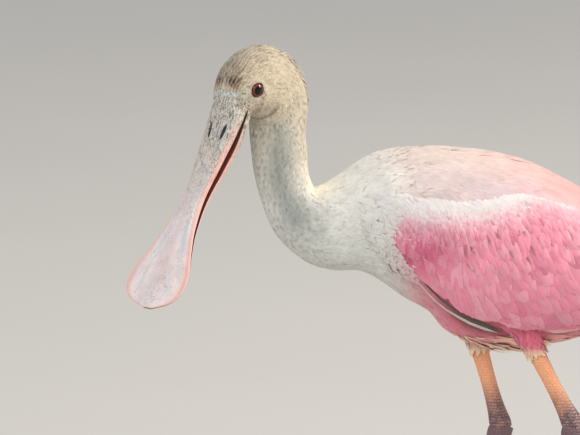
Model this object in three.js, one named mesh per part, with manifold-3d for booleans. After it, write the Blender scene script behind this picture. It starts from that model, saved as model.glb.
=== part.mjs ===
// A young roseate spoonbill standing with its neck folded and its bill held down, life size.
// Millimetres, +Z up. The bird faces -X, so its left side is at -Y. The floor is z = 0.
import * as THREE from "three";
import { mergeVertices } from "three/addons/utils/BufferGeometryUtils.js";
import Module from "manifold-3d";

const wasm = await Module();
wasm.setup();

// Driving dimensions
const GAP = 0.3; // between solids that meet
const BILL_LENGTH = 162; // from the feather edge to the tip
const TARSUS_LENGTH = 106; // ankle to foot
const HIP_HALF = 25; // each leg's distance from the middle
const EYE_RADIUS = 6.2;
const VANE_THICK = 0.8;
const SECTION_POWER = 2.2; // 2 is an ellipse, more is squarer

// Colours
const COLOURS = {
  plumage: 0xe9e2d8,
  back: 0xeed9d2,
  covert: 0xe48aa6,
  flight: 0xeaa5b4,
  hand: 0xd9c9c6,
  tail: 0xf0c9b8,
  bill: 0xd9b7b0,
  eye: 0x7a1f10,
  skin: 0xe08a63,
  shank: 0x6e5450,
  claw: 0x2a2422,
};
const finish = {
  plumage: { roughness: 0.85 },
  back: { roughness: 0.85 },
  covert: { roughness: 0.8 },
  flight: { roughness: 0.75 },
  hand: { roughness: 0.75 },
  tail: { roughness: 0.75 },
  bill: { roughness: 0.4 },
  eye: { roughness: 0.05 },
  skin: { roughness: 0.5 },
  shank: { roughness: 0.6 },
  claw: { roughness: 0.35 },
};

// Small helpers
const V = (x, y, z) => new THREE.Vector3(x, y, z);
const mix = THREE.MathUtils.lerp;
const rad = THREE.MathUtils.degToRad;
const steps = (n) => Array.from({ length: n + 1 }, (_, i) => i / n);
const power = (value, exponent) => Math.sign(value) * Math.abs(value) ** exponent;

// Seeded draws, so that every build is the same.
function draws(seed) {
  let state = seed;
  return () => {
    state = (state * 16807) % 2147483647;
    return state / 2147483647;
  };
}

// A smooth line through rows of numbers, read at t from 0 to 1 over the rows.
function between(rows, t) {
  const place = THREE.MathUtils.clamp(t, 0, 1) * (rows.length - 1);
  const i = Math.min(Math.floor(place), rows.length - 2);
  const f = place - i;
  const row = (k) => rows[THREE.MathUtils.clamp(k, 0, rows.length - 1)];
  return rows[i].map((_, c) => {
    const [a, b, d, e] = [row(i - 1)[c], row(i)[c], row(i + 1)[c], row(i + 2)[c]];
    return b + 0.5 * f * (d - a + f * (2 * a - 5 * b + 4 * d - e + f * (3 * (b - d) + e - a)));
  });
}

// The same for pairs [x, value], read at x.
function profile(pairs) {
  return (x) => {
    let i = pairs.findIndex(([at]) => at > x) - 1;
    if (i === -2) i = pairs.length - 2;
    i = Math.max(i, 0);
    const [x0, v0] = pairs[i];
    const [x1, v1] = pairs[i + 1];
    const slope = (k) => {
      const [a, b] = [pairs[Math.max(k - 1, 0)], pairs[Math.min(k + 1, pairs.length - 1)]];
      return (b[1] - a[1]) / (b[0] - a[0]);
    };
    const [d, f] = [x1 - x0, THREE.MathUtils.clamp((x - x0) / (x1 - x0), 0, 1)];
    const [m0, m1] = [slope(i) * d, slope(i + 1) * d];
    const [f2, f3] = [f * f, f * f * f];
    return (
      v0 * (2 * f3 - 3 * f2 + 1) + m0 * (f3 - 2 * f2 + f) + v1 * (3 * f2 - 2 * f3) + m1 * (f3 - f2)
    );
  };
}

// Turns a closed mesh so that its faces point out.
function outward(geometry) {
  const p = geometry.getAttribute("position");
  const index = geometry.index.array;
  const [a, b, c] = [V(), V(), V()];
  let volume = 0;
  for (let i = 0; i < index.length; i += 3) {
    a.fromBufferAttribute(p, index[i]);
    b.fromBufferAttribute(p, index[i + 1]);
    c.fromBufferAttribute(p, index[i + 2]);
    volume += a.dot(b.cross(c));
  }
  if (volume < 0)
    for (let i = 0; i < index.length; i += 3)
      [index[i + 1], index[i + 2]] = [index[i + 2], index[i + 1]];
  return geometry;
}

// A closed skin over rings of points, with a flat or low cap at each end.
function loft(rings) {
  const n = rings[0].length;
  const points = rings.flat();
  const index = [];
  for (let i = 0; i < rings.length - 1; i++)
    for (let j = 0; j < n; j++) {
      const [a, b] = [i * n + j, i * n + ((j + 1) % n)];
      index.push(a, b, b + n, a, b + n, a + n);
    }
  const caps = [
    [0, rings[0]],
    [(rings.length - 1) * n, rings.at(-1)],
  ];
  caps.forEach(([first, ring], end) => {
    const centre = ring.reduce((sum, p) => sum.add(p), V(0, 0, 0)).divideScalar(n);
    const c = points.push(centre) - 1;
    for (let j = 0; j < n; j++) {
      const [a, b] = [first + j, first + ((j + 1) % n)];
      index.push(...(end ? [a, b, c] : [b, a, c]));
    }
  });
  const geometry = new THREE.BufferGeometry().setFromPoints(points);
  geometry.setIndex(index);
  return outward(geometry);
}

// From a closed mesh to a solid and back
function solid(geometry) {
  const bare = new THREE.BufferGeometry();
  bare.setAttribute("position", geometry.getAttribute("position"));
  bare.setIndex(geometry.index);
  const merged = outward(mergeVertices(bare, 1e-4));
  return new wasm.Manifold(
    new wasm.Mesh({
      numProp: 3,
      vertProperties: new Float32Array(merged.attributes.position.array),
      triVerts: new Uint32Array(merged.index.array),
    }),
  );
}
const largest = (body) => body.decompose().reduce((a, b) => (a.volume() > b.volume() ? a : b));
const join = (bodies) => bodies.reduce((sum, body) => sum.add(body));
function shape(body) {
  const mesh = largest(body).getMesh();
  const geometry = new THREE.BufferGeometry();
  geometry.setAttribute("position", new THREE.BufferAttribute(mesh.vertProperties, 3));
  geometry.setIndex(new THREE.BufferAttribute(mesh.triVerts, 1));
  return geometry;
}

// The same body on the other side
function mirrored(body) {
  const geometry = shape(body);
  geometry.applyMatrix4(new THREE.Matrix4().makeScale(1, -1, 1));
  return solid(geometry);
}

// One ring of a body: from its back point to its belly point, with a half width across.
function ring(back, belly, halfWidth, options = {}) {
  const { widest = 0.5, across = V(0, 1, 0), count = 18, lower = SECTION_POWER } = options;
  const middle = belly.clone().lerp(back, widest);
  const [up, down] = [back.clone().sub(middle), middle.clone().sub(belly)];
  return Array.from({ length: count }, (_, i) => {
    const angle = (i / count) * 2 * Math.PI;
    const exponent = 2 / (Math.cos(angle) > 0 ? SECTION_POWER : lower);
    const c = power(Math.cos(angle), exponent);
    const s = power(Math.sin(angle), exponent);
    return middle
      .clone()
      .addScaledVector(c > 0 ? up : down, c)
      .addScaledVector(across, s * halfWidth);
  });
}

// The trunk's outlines from the shoulders to the tail, each as [x, height or half width]
const WIDEST = 0.55;
const NECK_ROOT = 50;
const RUMP_END = 345;
const backLine = profile([
  [36, 291], [50, 299.8], [64, 306], [78, 309], [92, 310.2], [106, 310.4], [120, 309.4],
  [148, 305.5], [176, 296], [204, 277.5], [246, 244], [288, 219], [325, 203.5], [345, 197],
]);
const bellyLine = profile([
  [36, 223.5], [50, 223], [60, 218.5], [70, 212], [82, 203.2], [101, 192], [111, 180], [127, 171.5],
  [153, 168], [169, 167], [190, 168.5], [218, 173.5], [261, 180], [303, 184], [345, 187],
]);
const trunkHalf = profile([
  [36, 34], [50, 39], [75, 46], [100, 50.2], [130, 53.2], [165, 53.6], [204, 50.8], [246, 42],
  [288, 30], [325, 18], [345, 10],
]);
// The same with the folded wings on, out to their tips
const WING_TIP = 420;
const SHELL_START = 36;
const SHELL_STEP = (WING_TIP - SHELL_START) / 12;
const SHELL_TURN = Math.PI / 10;
const topLine = profile([
  [36, 291], [50, 299.8], [64, 306], [78, 309], [92, 310.2], [106, 310.4], [120, 309.4],
  [148, 305.5], [176, 297], [204, 282.5], [246, 257], [288, 237], [330, 222], [370, 212], [400, 207.5],
  [420, 206],
]);
const underLine = profile([
  [36, 223.5], [50, 223], [60, 218.5], [70, 212], [82, 203.2], [101, 192], [111, 180], [127, 171.5],
  [153, 168], [169, 167], [190, 168.5], [218, 173.5], [261, 180], [303, 184.5], [345, 187.5],
  [380, 187.5], [420, 187],
]);
const dressedHalf = profile([
  [36, 36], [50, 43], [62, 50], [75, 54], [100, 58.5], [130, 61.5], [165, 62], [204, 59.5], [246, 52.5],
  [288, 43], [325, 34], [345, 29], [380, 22], [420, 15],
]);

function trunkRing(x, grow = 0) {
  return ring(V(x, 0, backLine(x) + grow), V(x, 0, bellyLine(x) - grow), trunkHalf(x) + grow, {
    widest: WIDEST,
    lower: mix(SECTION_POWER, 1.8, THREE.MathUtils.smoothstep(x, 50, 100)),
  });
}
function trunk(grow = 0) {
  const xs = steps(13).map((t) => mix(NECK_ROOT + GAP / 2 - grow, RUMP_END + grow, t));
  return solid(loft(xs.map((x) => trunkRing(x, grow))));
}

// A point of the dressed body: x, the angle round from the back (0) to the belly (pi), and the lift.
const sideShare = (x) => mix(1, 0.55, THREE.MathUtils.smoothstep(x, 300, WING_TIP));
const heightShare = (x) => mix(1, 0.1, THREE.MathUtils.smoothstep(x, 190, 310));
function dressedExact(x, angle, lift) {
  const raised = lift * sideShare(x);
  const taller = lift * heightShare(x);
  const [top, under] = [topLine(x) + taller, underLine(x) - taller];
  const middle = mix(under, top, WIDEST);
  const c = power(Math.cos(angle), 2 / SECTION_POWER);
  const s = power(Math.sin(angle), 2 / SECTION_POWER);
  const z = middle + c * (c > 0 ? top - middle : middle - under);
  return V(x, -s * (dressedHalf(x) + raised), z);
}
// The same point on the flat facets that the shells are made of
function dressed(x, angle, lift = 0) {
  const cell = (value, size) => [Math.floor(value / size) * size, (value / size) % 1];
  const [x0, fx] = cell(x - SHELL_START, SHELL_STEP);
  const [a0, fa] = cell(THREE.MathUtils.clamp(angle, 0, Math.PI - 1e-6), SHELL_TURN);
  const near = [0, 1].map((i) =>
    dressedExact(x0 + SHELL_START + i * SHELL_STEP, a0, lift).lerp(
      dressedExact(x0 + SHELL_START + i * SHELL_STEP, a0 + SHELL_TURN, lift),
      fa,
    ),
  );
  return near[0].lerp(near[1], fx);
}
function angleAt(x, z) {
  const middle = mix(underLine(x), topLine(x), WIDEST);
  const reach = z > middle ? topLine(x) - middle : middle - underLine(x);
  return Math.acos(power(THREE.MathUtils.clamp((z - middle) / reach, -1, 1), SECTION_POWER / 2));
}
function dressedNormal(x, angle) {
  const d = 0.01;
  const alongBody = dressed(x + d, angle).sub(dressed(x - d, angle));
  const round = dressed(x, angle + d).sub(dressed(x, angle - d));
  return round.cross(alongBody).normalize();
}
function shell(lift) {
  const count = 20;
  const rings = steps(12).map((t) => {
    const x = mix(SHELL_START, WING_TIP, t);
    return Array.from({ length: count }, (_, i) => {
      const angle = i * SHELL_TURN;
      const p = dressedExact(x, angle > Math.PI ? 2 * Math.PI - angle : angle, lift);
      return angle > Math.PI ? V(p.x, -p.y, p.z) : p;
    });
  });
  return solid(loft(rings));
}

// A thin feather: rows of points across it, split into triangles alike above and below
function vane(rows, normals, thick = VANE_THICK) {
  const n = rows[0].length;
  const rings = rows.map((row, i) => {
    const under = row.map((p) => p.clone().addScaledVector(normals[i], -thick)).reverse();
    return [...row, ...under];
  });
  const index = [];
  const quad = (a, b, c, d, other) =>
    index.push(...(other ? [a, b, d, b, c, d] : [a, b, c, a, c, d]));
  const size = 2 * n;
  for (let i = 0; i < rings.length - 1; i++)
    for (let j = 0; j < size; j++) {
      const k = (j + 1) % size;
      quad(i * size + j, i * size + k, (i + 1) * size + k, (i + 1) * size + j, j >= n);
    }
  for (const first of [0, (rings.length - 1) * size])
    for (let j = 0; j < n - 1; j++) {
      const corners = [j, j + 1, size - 2 - j, size - 1 - j].map((v) => v + first);
      if (!first) corners.reverse();
      quad(...corners, false);
    }
  const geometry = new THREE.BufferGeometry().setFromPoints(rings.flat());
  geometry.setIndex(index);
  return solid(outward(geometry));
}

// A feather that lies on the dressed body, from one [x, z] to another, rising from one lift to another.
const VANE_SHAPE = [[0.5], [0.95], [1], [0.88], [0.3]];
function lyingVane({ from, to, halfWidth, lifts, rise = 1, count = 3, thick }) {
  const [a0, a1] = [angleAt(...from), angleAt(...to)];
  const place = (t) => [mix(from[0], to[0], t), mix(a0, a1, t)];
  const rows = [];
  const normals = [];
  for (const t of steps(count)) {
    const [x, angle] = place(t);
    const lift = mix(...lifts, Math.min(1, t * rise));
    const centre = dressed(x, angle, lift);
    const normal = dressedNormal(x, angle);
    const ahead = dressed(...place(t + 0.02)).sub(dressed(...place(t - 0.02)));
    const side = ahead.cross(normal).normalize();
    const [w] = between(VANE_SHAPE, t);
    rows.push(
      [-1, 1].map((edge) => {
        const p = centre.clone().addScaledVector(side, edge * w * halfWidth);
        const round = angleAt(p.x, p.z - lift * heightShare(x) * Math.cos(angle));
        return dressed(p.x, Math.max(round, 0.09), lift + edge * TILT * mix(0.2, 1, t));
      }),
    );
    normals.push(normal);
  }
  return vane(rows, normals, thick);
}

// A tier of such feathers: roots and tips run evenly between two ends.
// The width of each is its share of the room between two tips.
function tier({ count, roots, tips, share = 0.86, lifts, seed, rise, along = 3, sink = 0, thick }) {
  const draw = draws(seed);
  const run = [0, 1].map((c) => (tips[1][c] - tips[0][c]) / (count - 1));
  const halfWidth = (Math.hypot(...run) / 2) * share;
  return steps(count - 1).map((t, i) => {
    const vary = () => (draw() - 0.5) * 2;
    const from = [0, 1].map((c) => mix(roots[0][c], roots[1][c], t) + vary());
    const to = [0, 1].map((c) => mix(tips[0][c], tips[1][c], t) + vary() * 1.5);
    const width = halfWidth * (1 + 0.03 * vary());
    const ends = [lifts[0], lifts[1] - sink * i];
    return lyingVane({ from, to, halfWidth: width, lifts: ends, rise, count: along, thick });
  });
}

// A wall of the wing's outline, seen from the side, reaching out over the left half.
function sideWall(outline) {
  const flat = new THREE.Shape(outline.map(([x, z]) => new THREE.Vector2(x, z)));
  const wall = new THREE.ExtrudeGeometry(flat, { depth: 88, bevelEnabled: false });
  wall.rotateX(Math.PI / 2).translate(0, -2, 0);
  wall.deleteAttribute("normal");
  wall.deleteAttribute("uv");
  return solid(mergeVertices(wall, 1e-4));
}

// Three layers of the left wing, from the body out: hand and primaries, secondaries, coverts
const LAYERS = { hand: [-8.4, -6.4], arm: [-6, -2.1], cover: [-1.6, 2.9], scapular: [-2, 6] };
const TILT = 0.55; // half the height difference between a vane's two edges
const grownTrunk = join([trunk(GAP + 0.1), mirrored(trunk(GAP + 0.1))]);
function slab([low, high], outline) {
  return shell(high).subtract(shell(low)).intersect(sideWall(outline));
}

function leftHand() {
  const [low, high] = LAYERS.hand;
  const core = slab(LAYERS.hand, [
    [101, 205], [122, 193], [165, 186], [240, 189], [240, 205], [165, 207], [122, 218], [101, 232],
  ]);
  const primaries = tier({
    count: 4, roots: [[215, 193], [222, 202]], tips: [[418, 195], [342, 204]], share: 1,
    lifts: [low + 1.3, low], seed: 13, sink: 1.5,
  });
  return join([core, ...primaries]).intersect(shell(high));
}

function leftArm() {
  const [low, high] = LAYERS.arm;
  const core = slab([low, high - 0.5], [
    [101, 225], [122, 208], [165, 195], [215, 196], [236, 208], [236, 240], [206, 264], [160, 270],
    [101, 262],
  ]);
  const secondaries = tier({
    count: 6, roots: [[144, 208], [216, 223]], tips: [[208, 184], [346, 203]], share: 0.75,
    lifts: [low + 2, low + 2], seed: 11,
  });
  const tertials = tier({
    count: 3, roots: [[206, 238], [200, 258]], tips: [[350, 211], [322, 223]], share: 1.4,
    lifts: [low + 2.4, low + 3.2], seed: 12, along: 4,
  });
  const under = join([core, ...secondaries]).intersect(shell(high)).subtract(shell(low));
  return join([under, ...tertials]);
}

function leftCoverts() {
  const [low, high] = LAYERS.cover;
  const core = slab(
    [low, 0.5],
    [
      [61, 257], [66, 244], [74, 234], [87, 220], [104, 205], [122, 195], [150, 190], [190, 196],
      [212, 216], [212, 252], [190, 276], [157, 287], [122, 284], [87, 279], [66, 270],
    ],
  );
  const lifts = [low + 1.5, high - TILT];
  const rows = [
    { count: 5, roots: [[80, 275], [160, 280]], tips: [[92, 248], [188, 259]], seed: 21 },
    { count: 5, roots: [[80, 262], [190, 270]], tips: [[100, 227], [228, 246]], seed: 22 },
    { count: 4, roots: [[90, 242], [200, 258]], tips: [[118, 203], [242, 222]], seed: 23 },
    { count: 4, roots: [[106, 219], [204, 238]], tips: [[144, 187], [260, 204]], seed: 24, share: 0.8 },
  ];
  const vanes = rows.flatMap((row) => tier({ ...row, lifts }));
  const wrist = slab(
    [-9, 0.5],
    [[61, 257], [66, 244], [74, 234], [87, 220], [100, 209], [100, 281], [87, 279], [66, 270]],
  );
  return join([core, ...vanes]).subtract(shell(low)).add(wrist.subtract(grownTrunk));
}

// Scapulars, which lie over the top of the left wing, or the room that they need
function scapulars(room = 0) {
  const lifts = LAYERS.scapular.map((lift) => lift + room);
  const rows = [
    { count: 4, roots: [[90, 299], [150, 299]], tips: [[108, 270], [206, 264]], share: 0.9, seed: 31 },
    { count: 3, roots: [[124, 304], [182, 290.5]], tips: [[178, 284], [258, 236]], share: 0.6, seed: 32 },
  ];
  return rows.flatMap((row) => tier({ ...row, lifts, rise: 2.4, thick: VANE_THICK + 2 * room }));
}

function torso() {
  return join([trunk(), ...scapulars(), ...scapulars().map(mirrored)]);
}

// Tail: twelve flat feathers in a root block, the middle pair on top
const TAIL_DROP = 0.95;
function tail() {
  const rows = [
    [RUMP_END + GAP, 10, 196.6, 188], [360, 9.5, 194, 184.5], [372, 6, 191, 184],
  ];
  const rings = rows.map(([x, w, top, under]) =>
    ring(V(x, 0, top), V(x, 0, under), w, { count: 10 }),
  );
  const vanes = [];
  for (let i = 0; i < 6; i++)
    for (const side of [-1, 1]) {
      const lines = steps(3).map((t) => {
        const spread = side * mix(1.5 + 0.8 * i, 4.2 + 3.9 * i, t);
        const [w] = between([[4], [6.6], [7.4], [3.4]], t);
        const x = mix(356, 429 - 1.2 * i, t);
        const z = mix(190.4, 187.6, t) - TAIL_DROP * i * mix(1, 0.5, t) - (side > 0 ? 0.4 : 0);
        return [-1, 1].map((edge) => V(x, spread + edge * w, z - 0.1 * Math.abs(spread)));
      });
      vanes.push(vane(lines, lines.map(() => V(0, 0, 1))));
    }
  return join([solid(loft(rings)), ...vanes]);
}

// The room that the wings leave for the tail
function tailClear() {
  const rows = [
    [340, 11, 200.5, 180], [360, 12, 195.5, 180], [372, 16, 192, 178], [432, 33, 188.6, 176],
  ];
  const rings = rows.map(([x, w, top, under]) =>
    ring(V(x, 0, top), V(x, 0, under), w, { count: 10 }),
  );
  return solid(loft(rings));
}

// Head frame: origin at the middle of the bill's base, bill along -X, crown along +Z
const HEAD = { place: V(-46.9, -24.9, 349.1), turn: 33.4, pitch: 60.5, roll: 6 };
const headTurn = new THREE.Matrix4()
  .makeRotationZ(rad(HEAD.turn))
  .multiply(new THREE.Matrix4().makeRotationY(-rad(HEAD.pitch)));
const headMatrix = new THREE.Matrix4().makeTranslation(HEAD.place).multiply(headTurn);
const rollMatrix = new THREE.Matrix4().makeRotationX(rad(HEAD.roll));
const billMatrix = headMatrix.clone().multiply(rollMatrix);

// A point of the head's middle plane, forward and up from the bill's base, in the part's frame
const facing = V(-Math.cos(rad(HEAD.turn)), -Math.sin(rad(HEAD.turn)), 0);
const headAcross = V(-facing.y, facing.x, 0).negate();
const inHead = (forward, up) => HEAD.place.clone().addScaledVector(facing, forward).add(V(0, 0, up));

// Rows of the head, each [back forward, back up, front forward, front up, half width]
const HEAD_ROWS = [
  [-64.7, -25.5, -25.7, -25.5, 19],
  [-67.3, -10, -25, -18, 19],
  [-65.6, 4, -24, -15, 19.2],
  [-58, 18, -22.5, -13.5, 19.4],
  [-45.5, 30.4, -20.5, -12.5, 19.6],
  [-29.5, 36.4, -18, -12, 19.6],
  [-13.5, 34, -15.5, -11.5, 19.2],
  [-1.2, 26.2, -12.5, -11, 18.2],
  [6.6, 16, -9, -11.5, 16.4],
  [9.6, 5.4, -4.8, -11.9, 13.8],
];

// Rows of the neck, each [back x, back z, front x, front z, half width, share of the head's turn]
const NECK_ROWS = [
  [11.2, 323.6, -28.8, 323.6, 19, 1],
  [11.6, 311, -27.3, 308, 18.7, 0.8],
  [11.8, 299, -25, 293, 18.6, 0.55],
  [13.2, 291, -20, 274, 20, 0.3],
  [17.5, 283.5, -9.5, 249.5, 24, 0.1],
  [25, 285, 11, 230.5, 29, 0],
  [36, 291, 31, 224, 34, 0],
  [50, 299.8, 50, 223, 39, 0],
];

function neckRing(t, inset = 0) {
  const [bx, bz, fx, fz, half, turn] = between(NECK_ROWS, t);
  const [back, front] = [V(bx, 0, bz), V(fx, 0, fz)];
  const middle = back.clone().lerp(front, 0.5);
  const angle = rad(HEAD.turn) * turn;
  const points = ring(back, front, half - inset, { widest: mix(0.5, WIDEST, t) });
  return points.map((p) => p.sub(middle).applyAxisAngle(V(0, 0, 1), angle).add(middle));
}

// A length of the neck from one share of the way down to another
const NECK_CUTS = [0.005, 0.36, 0.68, 0.997];
function neckLength(from, to, count) {
  return solid(loft(steps(count).map((t) => neckRing(mix(from, to, t)))));
}

const eyeAxis = (side) => V(-0.22, side, 0.08).normalize();
const eyePlace = (side) => V(11.3, side * 13.6, -3.4);

function headForm(grow = 0) {
  const rings = steps(13).map((t) => {
    const [bf, bu, ff, fu, half] = between(HEAD_ROWS, t);
    const out = new THREE.Vector2(ff - bf, fu - bu).setLength(grow);
    const back = inHead(bf - out.x, bu - out.y);
    return ring(back, inHead(ff + out.x, fu + out.y), half + grow, { across: headAcross });
  });
  const face = V(-1, 0, -0.2).transformDirection(headMatrix);
  rings.at(-1).forEach((p) => p.addScaledVector(face, grow));
  return solid(loft(rings));
}

function head() {
  let body = headForm();
  for (const side of [-1, 1]) {
    const lid = new THREE.TorusGeometry(5.4, 1.3, 6, 11);
    lid.applyQuaternion(new THREE.Quaternion().setFromUnitVectors(V(0, 0, 1), eyeAxis(side)));
    const centre = eyePlace(side).addScaledVector(eyeAxis(side), 3.6);
    lid.translate(centre.x, centre.y, centre.z).applyMatrix4(headMatrix);
    const socket = new THREE.SphereGeometry(EYE_RADIUS + GAP, 10, 8);
    const at = eyePlace(side);
    socket.translate(at.x, at.y, at.z).applyMatrix4(headMatrix);
    body = body.add(solid(lid)).subtract(solid(socket));
  }
  return body;
}

function eye(side) {
  const ball = new THREE.SphereGeometry(EYE_RADIUS, 10, 8);
  const at = eyePlace(side);
  return solid(ball.translate(at.x, at.y, at.z).applyMatrix4(headMatrix));
}

// Bill outlines, each as [share of the length, size]
const billHalf = profile([
  [0, 14], [0.15, 13.6], [0.3, 11.4], [0.47, 9.4], [0.62, 12.8], [0.72, 18], [0.82, 24], [0.88, 25.4],
  [0.93, 23.6], [0.97, 17], [1, 4],
]);
const upperDepth = profile([[0, 13], [0.15, 7.4], [0.3, 5.2], [0.47, 4], [0.7, 2.6], [0.9, 2], [1, 1.4]]);
const lowerDepth = profile([
  [0, 11.5], [0.15, 10.8], [0.25, 9.4], [0.35, 7.2], [0.47, 4.8], [0.7, 2.8], [0.9, 2], [1, 1.3],
]);
const mouthLevel = profile([[0, -3.4], [0.15, -2.6], [0.47, -0.4], [0.8, 3.4], [0.95, 5], [1, 4.6]]);
const mouthGap = profile([
  [0, 1.2], [0.12, 4], [0.2, 5.4], [0.3, 5.2], [0.42, 4.2], [0.6, 2.8], [0.8, 1.5], [0.92, 0.9],
  [1, 0.6],
]);

// One ring of a half of the bill: a rounded outer side and an almost flat inner side
function billRing(s, level, depth, half, sign, lean) {
  const count = 7;
  const outer = steps(count).map((t) => {
    const angle = Math.PI * t;
    const z = Math.sin(angle) ** 0.8 * depth * sign;
    return V(0, -Math.cos(angle) * half, level + z);
  });
  const inner = [0.5, -0.5].map((y) => V(0, y * half, level + 0.25 * sign * depth * 0.3));
  return [...outer, ...inner].map((p) => V(-s + lean * (p.z - level), p.y, p.z));
}

function billHalfSolid(sign) {
  const shares = [0, 0.08, 0.17, 0.3, 0.44, 0.56, 0.66, 0.75, 0.83, 0.89, 0.94, 0.975, 1];
  const start = sign > 0 ? -6 : -4;
  const rings = shares.map((share) => {
    const s = mix(start, BILL_LENGTH, share);
    const part = s / BILL_LENGTH;
    const level = mouthLevel(part) - (sign > 0 ? 0 : mouthGap(part));
    const depth = (sign > 0 ? upperDepth : lowerDepth)(part);
    const half = billHalf(part) * (sign > 0 ? 1 : 0.96);
    const lean = share === 0 ? 0.42 : 0;
    return billRing(s, level, depth, half, sign, lean);
  });
  return solid(loft(rings).applyMatrix4(billMatrix)).subtract(headForm(GAP));
}

function billUpper() {
  let body = billHalfSolid(1);
  for (const side of [-1, 1]) {
    const slit = new THREE.SphereGeometry(1, 8, 6).scale(7, 1.1, 2.2).rotateZ(side * 0.1);
    slit.translate(-24, side * 4.6, 4.1).applyMatrix4(billMatrix);
    body = body.subtract(solid(slit));
  }
  return body;
}

// Legs: side is -1 for the left, which is one step back, and +1 for the right
const LEGS = {
  left: {
    side: -1,
    knee: V(154.1, -HIP_HALF, 200),
    bare: V(170, -HIP_HALF, 169.5),
    ankle: V(201, -HIP_HALF, 110),
  },
  right: {
    side: 1,
    knee: V(132, HIP_HALF, 200),
    bare: V(142, HIP_HALF, 165.5),
    ankle: V(159.6, HIP_HALF, 104),
  },
};
const FOOT_TOP = 9;

// A round limb over [share of the way, radius, depth share] rows
function limb(from, to, rows, count = 12) {
  const direction = to.clone().sub(from).normalize();
  const across = V(0, 1, 0);
  const fore = across.clone().cross(direction).normalize();
  return loft(
    rows.map(([share, radius, depth = 1, shift = 0]) => {
      const centre = from.clone().lerp(to, share).addScaledVector(fore, shift);
      return Array.from({ length: count }, (_, i) => {
        const angle = (i / count) * 2 * Math.PI;
        return centre
          .clone()
          .addScaledVector(fore, Math.cos(angle) * radius * depth)
          .addScaledVector(across, Math.sin(angle) * radius);
      });
    }),
  );
}

function footPlace({ ankle }) {
  const drop = ankle.z - FOOT_TOP;
  return V(ankle.x - Math.sqrt(TARSUS_LENGTH ** 2 - drop ** 2), ankle.y, FOOT_TOP);
}

function thigh({ knee, bare }, grow = 0) {
  const rows = [[0, 13, 1.3], [0.45, 12.6, 1.2], [0.75, 11, 1.05], [0.93, 9], [0.995, 7.2]];
  return solid(limb(knee, bare, rows.map(([share, radius, depth]) => [share, radius + grow, depth])));
}

function shank({ bare, ankle }) {
  const rows = [
    [0.005, 6.6], [0.2, 5.9], [0.45, 5.5], [0.65, 5.8], [0.8, 6.6], [0.92, 7.4, 1.05],
    [0.995, 7.2, 1.05],
  ];
  return solid(limb(bare, ankle, rows));
}

function tarsus(leg) {
  const foot = footPlace(leg);
  const rows = [
    [-0.03, 6.6, 1.1, -0.6], [0.03, 7.6, 1.15], [0.1, 6.6, 1.1], [0.2, 4.7], [0.45, 4.1], [0.7, 4.1],
    [0.88, 4.8], [0.99, 5.8],
  ];
  const top = leg.ankle.clone().lerp(foot, 0.045);
  const above = limb(leg.bare, leg.ankle, [[0, 8], [1, 8.4, 1.1]]);
  return solid(limb(top, foot, rows)).subtract(solid(above));
}

// Toes as [angle out from straight ahead, length, base radius]
const TOES = {
  inner: [-30, 46, 4.1],
  middle: [-1, 60, 4.3],
  outer: [27, 51, 4.2],
  hind: [176, 24, 3.5],
};
const CLAW_LENGTH = 9;
const CLAW_RADIUS = 1.7;

// A toe's or claw's ring on the floor, flat below
function floorRing(centre, direction, radius, count = 8) {
  const across = V(-direction.y, direction.x, 0);
  return Array.from({ length: count }, (_, i) => {
    const angle = (i / count) * 2 * Math.PI;
    const p = centre.clone().addScaledVector(across, Math.sin(angle) * radius);
    p.z = Math.max(0, centre.z + Math.cos(angle) * radius);
    return p;
  });
}

const toeDirection = (leg, out) => {
  const angle = Math.PI - leg.side * rad(out);
  return V(Math.cos(angle), Math.sin(angle), 0);
};

function toe(leg, [out, length, radius]) {
  const start = footPlace(leg).setZ(0);
  const direction = toeDirection(leg, out);
  const lumps = [1, 0.9, 1, 0.78, 0.86, 0.62, 0.52];
  const rings = lumps.map((lump, i) => {
    const r = radius * lump;
    const centre = start.clone().addScaledVector(direction, (length * i) / (lumps.length - 1));
    return floorRing(centre.setZ(r * 0.78), direction, r);
  });
  return solid(loft(rings));
}

// The web between two toes, a thin wedge with a hollow front edge
function web(leg, [outA, lengthA], [outB, lengthB], reach) {
  const start = footPlace(leg).setZ(0);
  const [a, b] = [toeDirection(leg, outA), toeDirection(leg, outB)];
  const tips = [a.clone().multiplyScalar(lengthA * reach), b.clone().multiplyScalar(lengthB * reach)];
  const notch = a.clone().add(b).normalize().multiplyScalar(mix(lengthA, lengthB, 0.5) * reach * 0.62);
  const outline = [V(0, 0, 0), tips[0], notch, tips[1]];
  const rings = [0.9, 2.3].map((z) => outline.map((p) => start.clone().add(p).setZ(z)));
  return solid(loft(rings));
}

function foot(leg) {
  const heel = footPlace(leg);
  const pad = loft(
    [
      [0, 5.6], [3, 6.2], [6, 6], [FOOT_TOP - GAP, 5.4],
    ].map(([z, r]) =>
      Array.from({ length: 10 }, (_, i) => {
        const angle = (i / 10) * 2 * Math.PI;
        return V(heel.x + Math.cos(angle) * r, heel.y + Math.sin(angle) * r, z);
      }),
    ),
  );
  const toes = Object.values(TOES).map((row) => toe(leg, row));
  const webs = [web(leg, TOES.inner, TOES.middle, 0.42), web(leg, TOES.middle, TOES.outer, 0.5)];
  const top = solid(limb(footPlace(leg), leg.ankle, [[0, 9], [0.3, 9]]));
  return join([solid(pad), ...toes, ...webs]).subtract(top);
}

function claw(leg, [out, length, radius]) {
  const direction = toeDirection(leg, out);
  const start = footPlace(leg).addScaledVector(direction, length + GAP);
  const rows = [[0, 1, 0.7], [0.55, 0.72, 0.62], [1, 0.16, 0.2]];
  const rings = rows.map(([share, size, height]) => {
    const centre = start.clone().addScaledVector(direction, share * CLAW_LENGTH);
    return floorRing(centre.setZ(radius * height), direction, CLAW_RADIUS * size, 6);
  });
  return solid(loft(rings));
}

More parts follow.
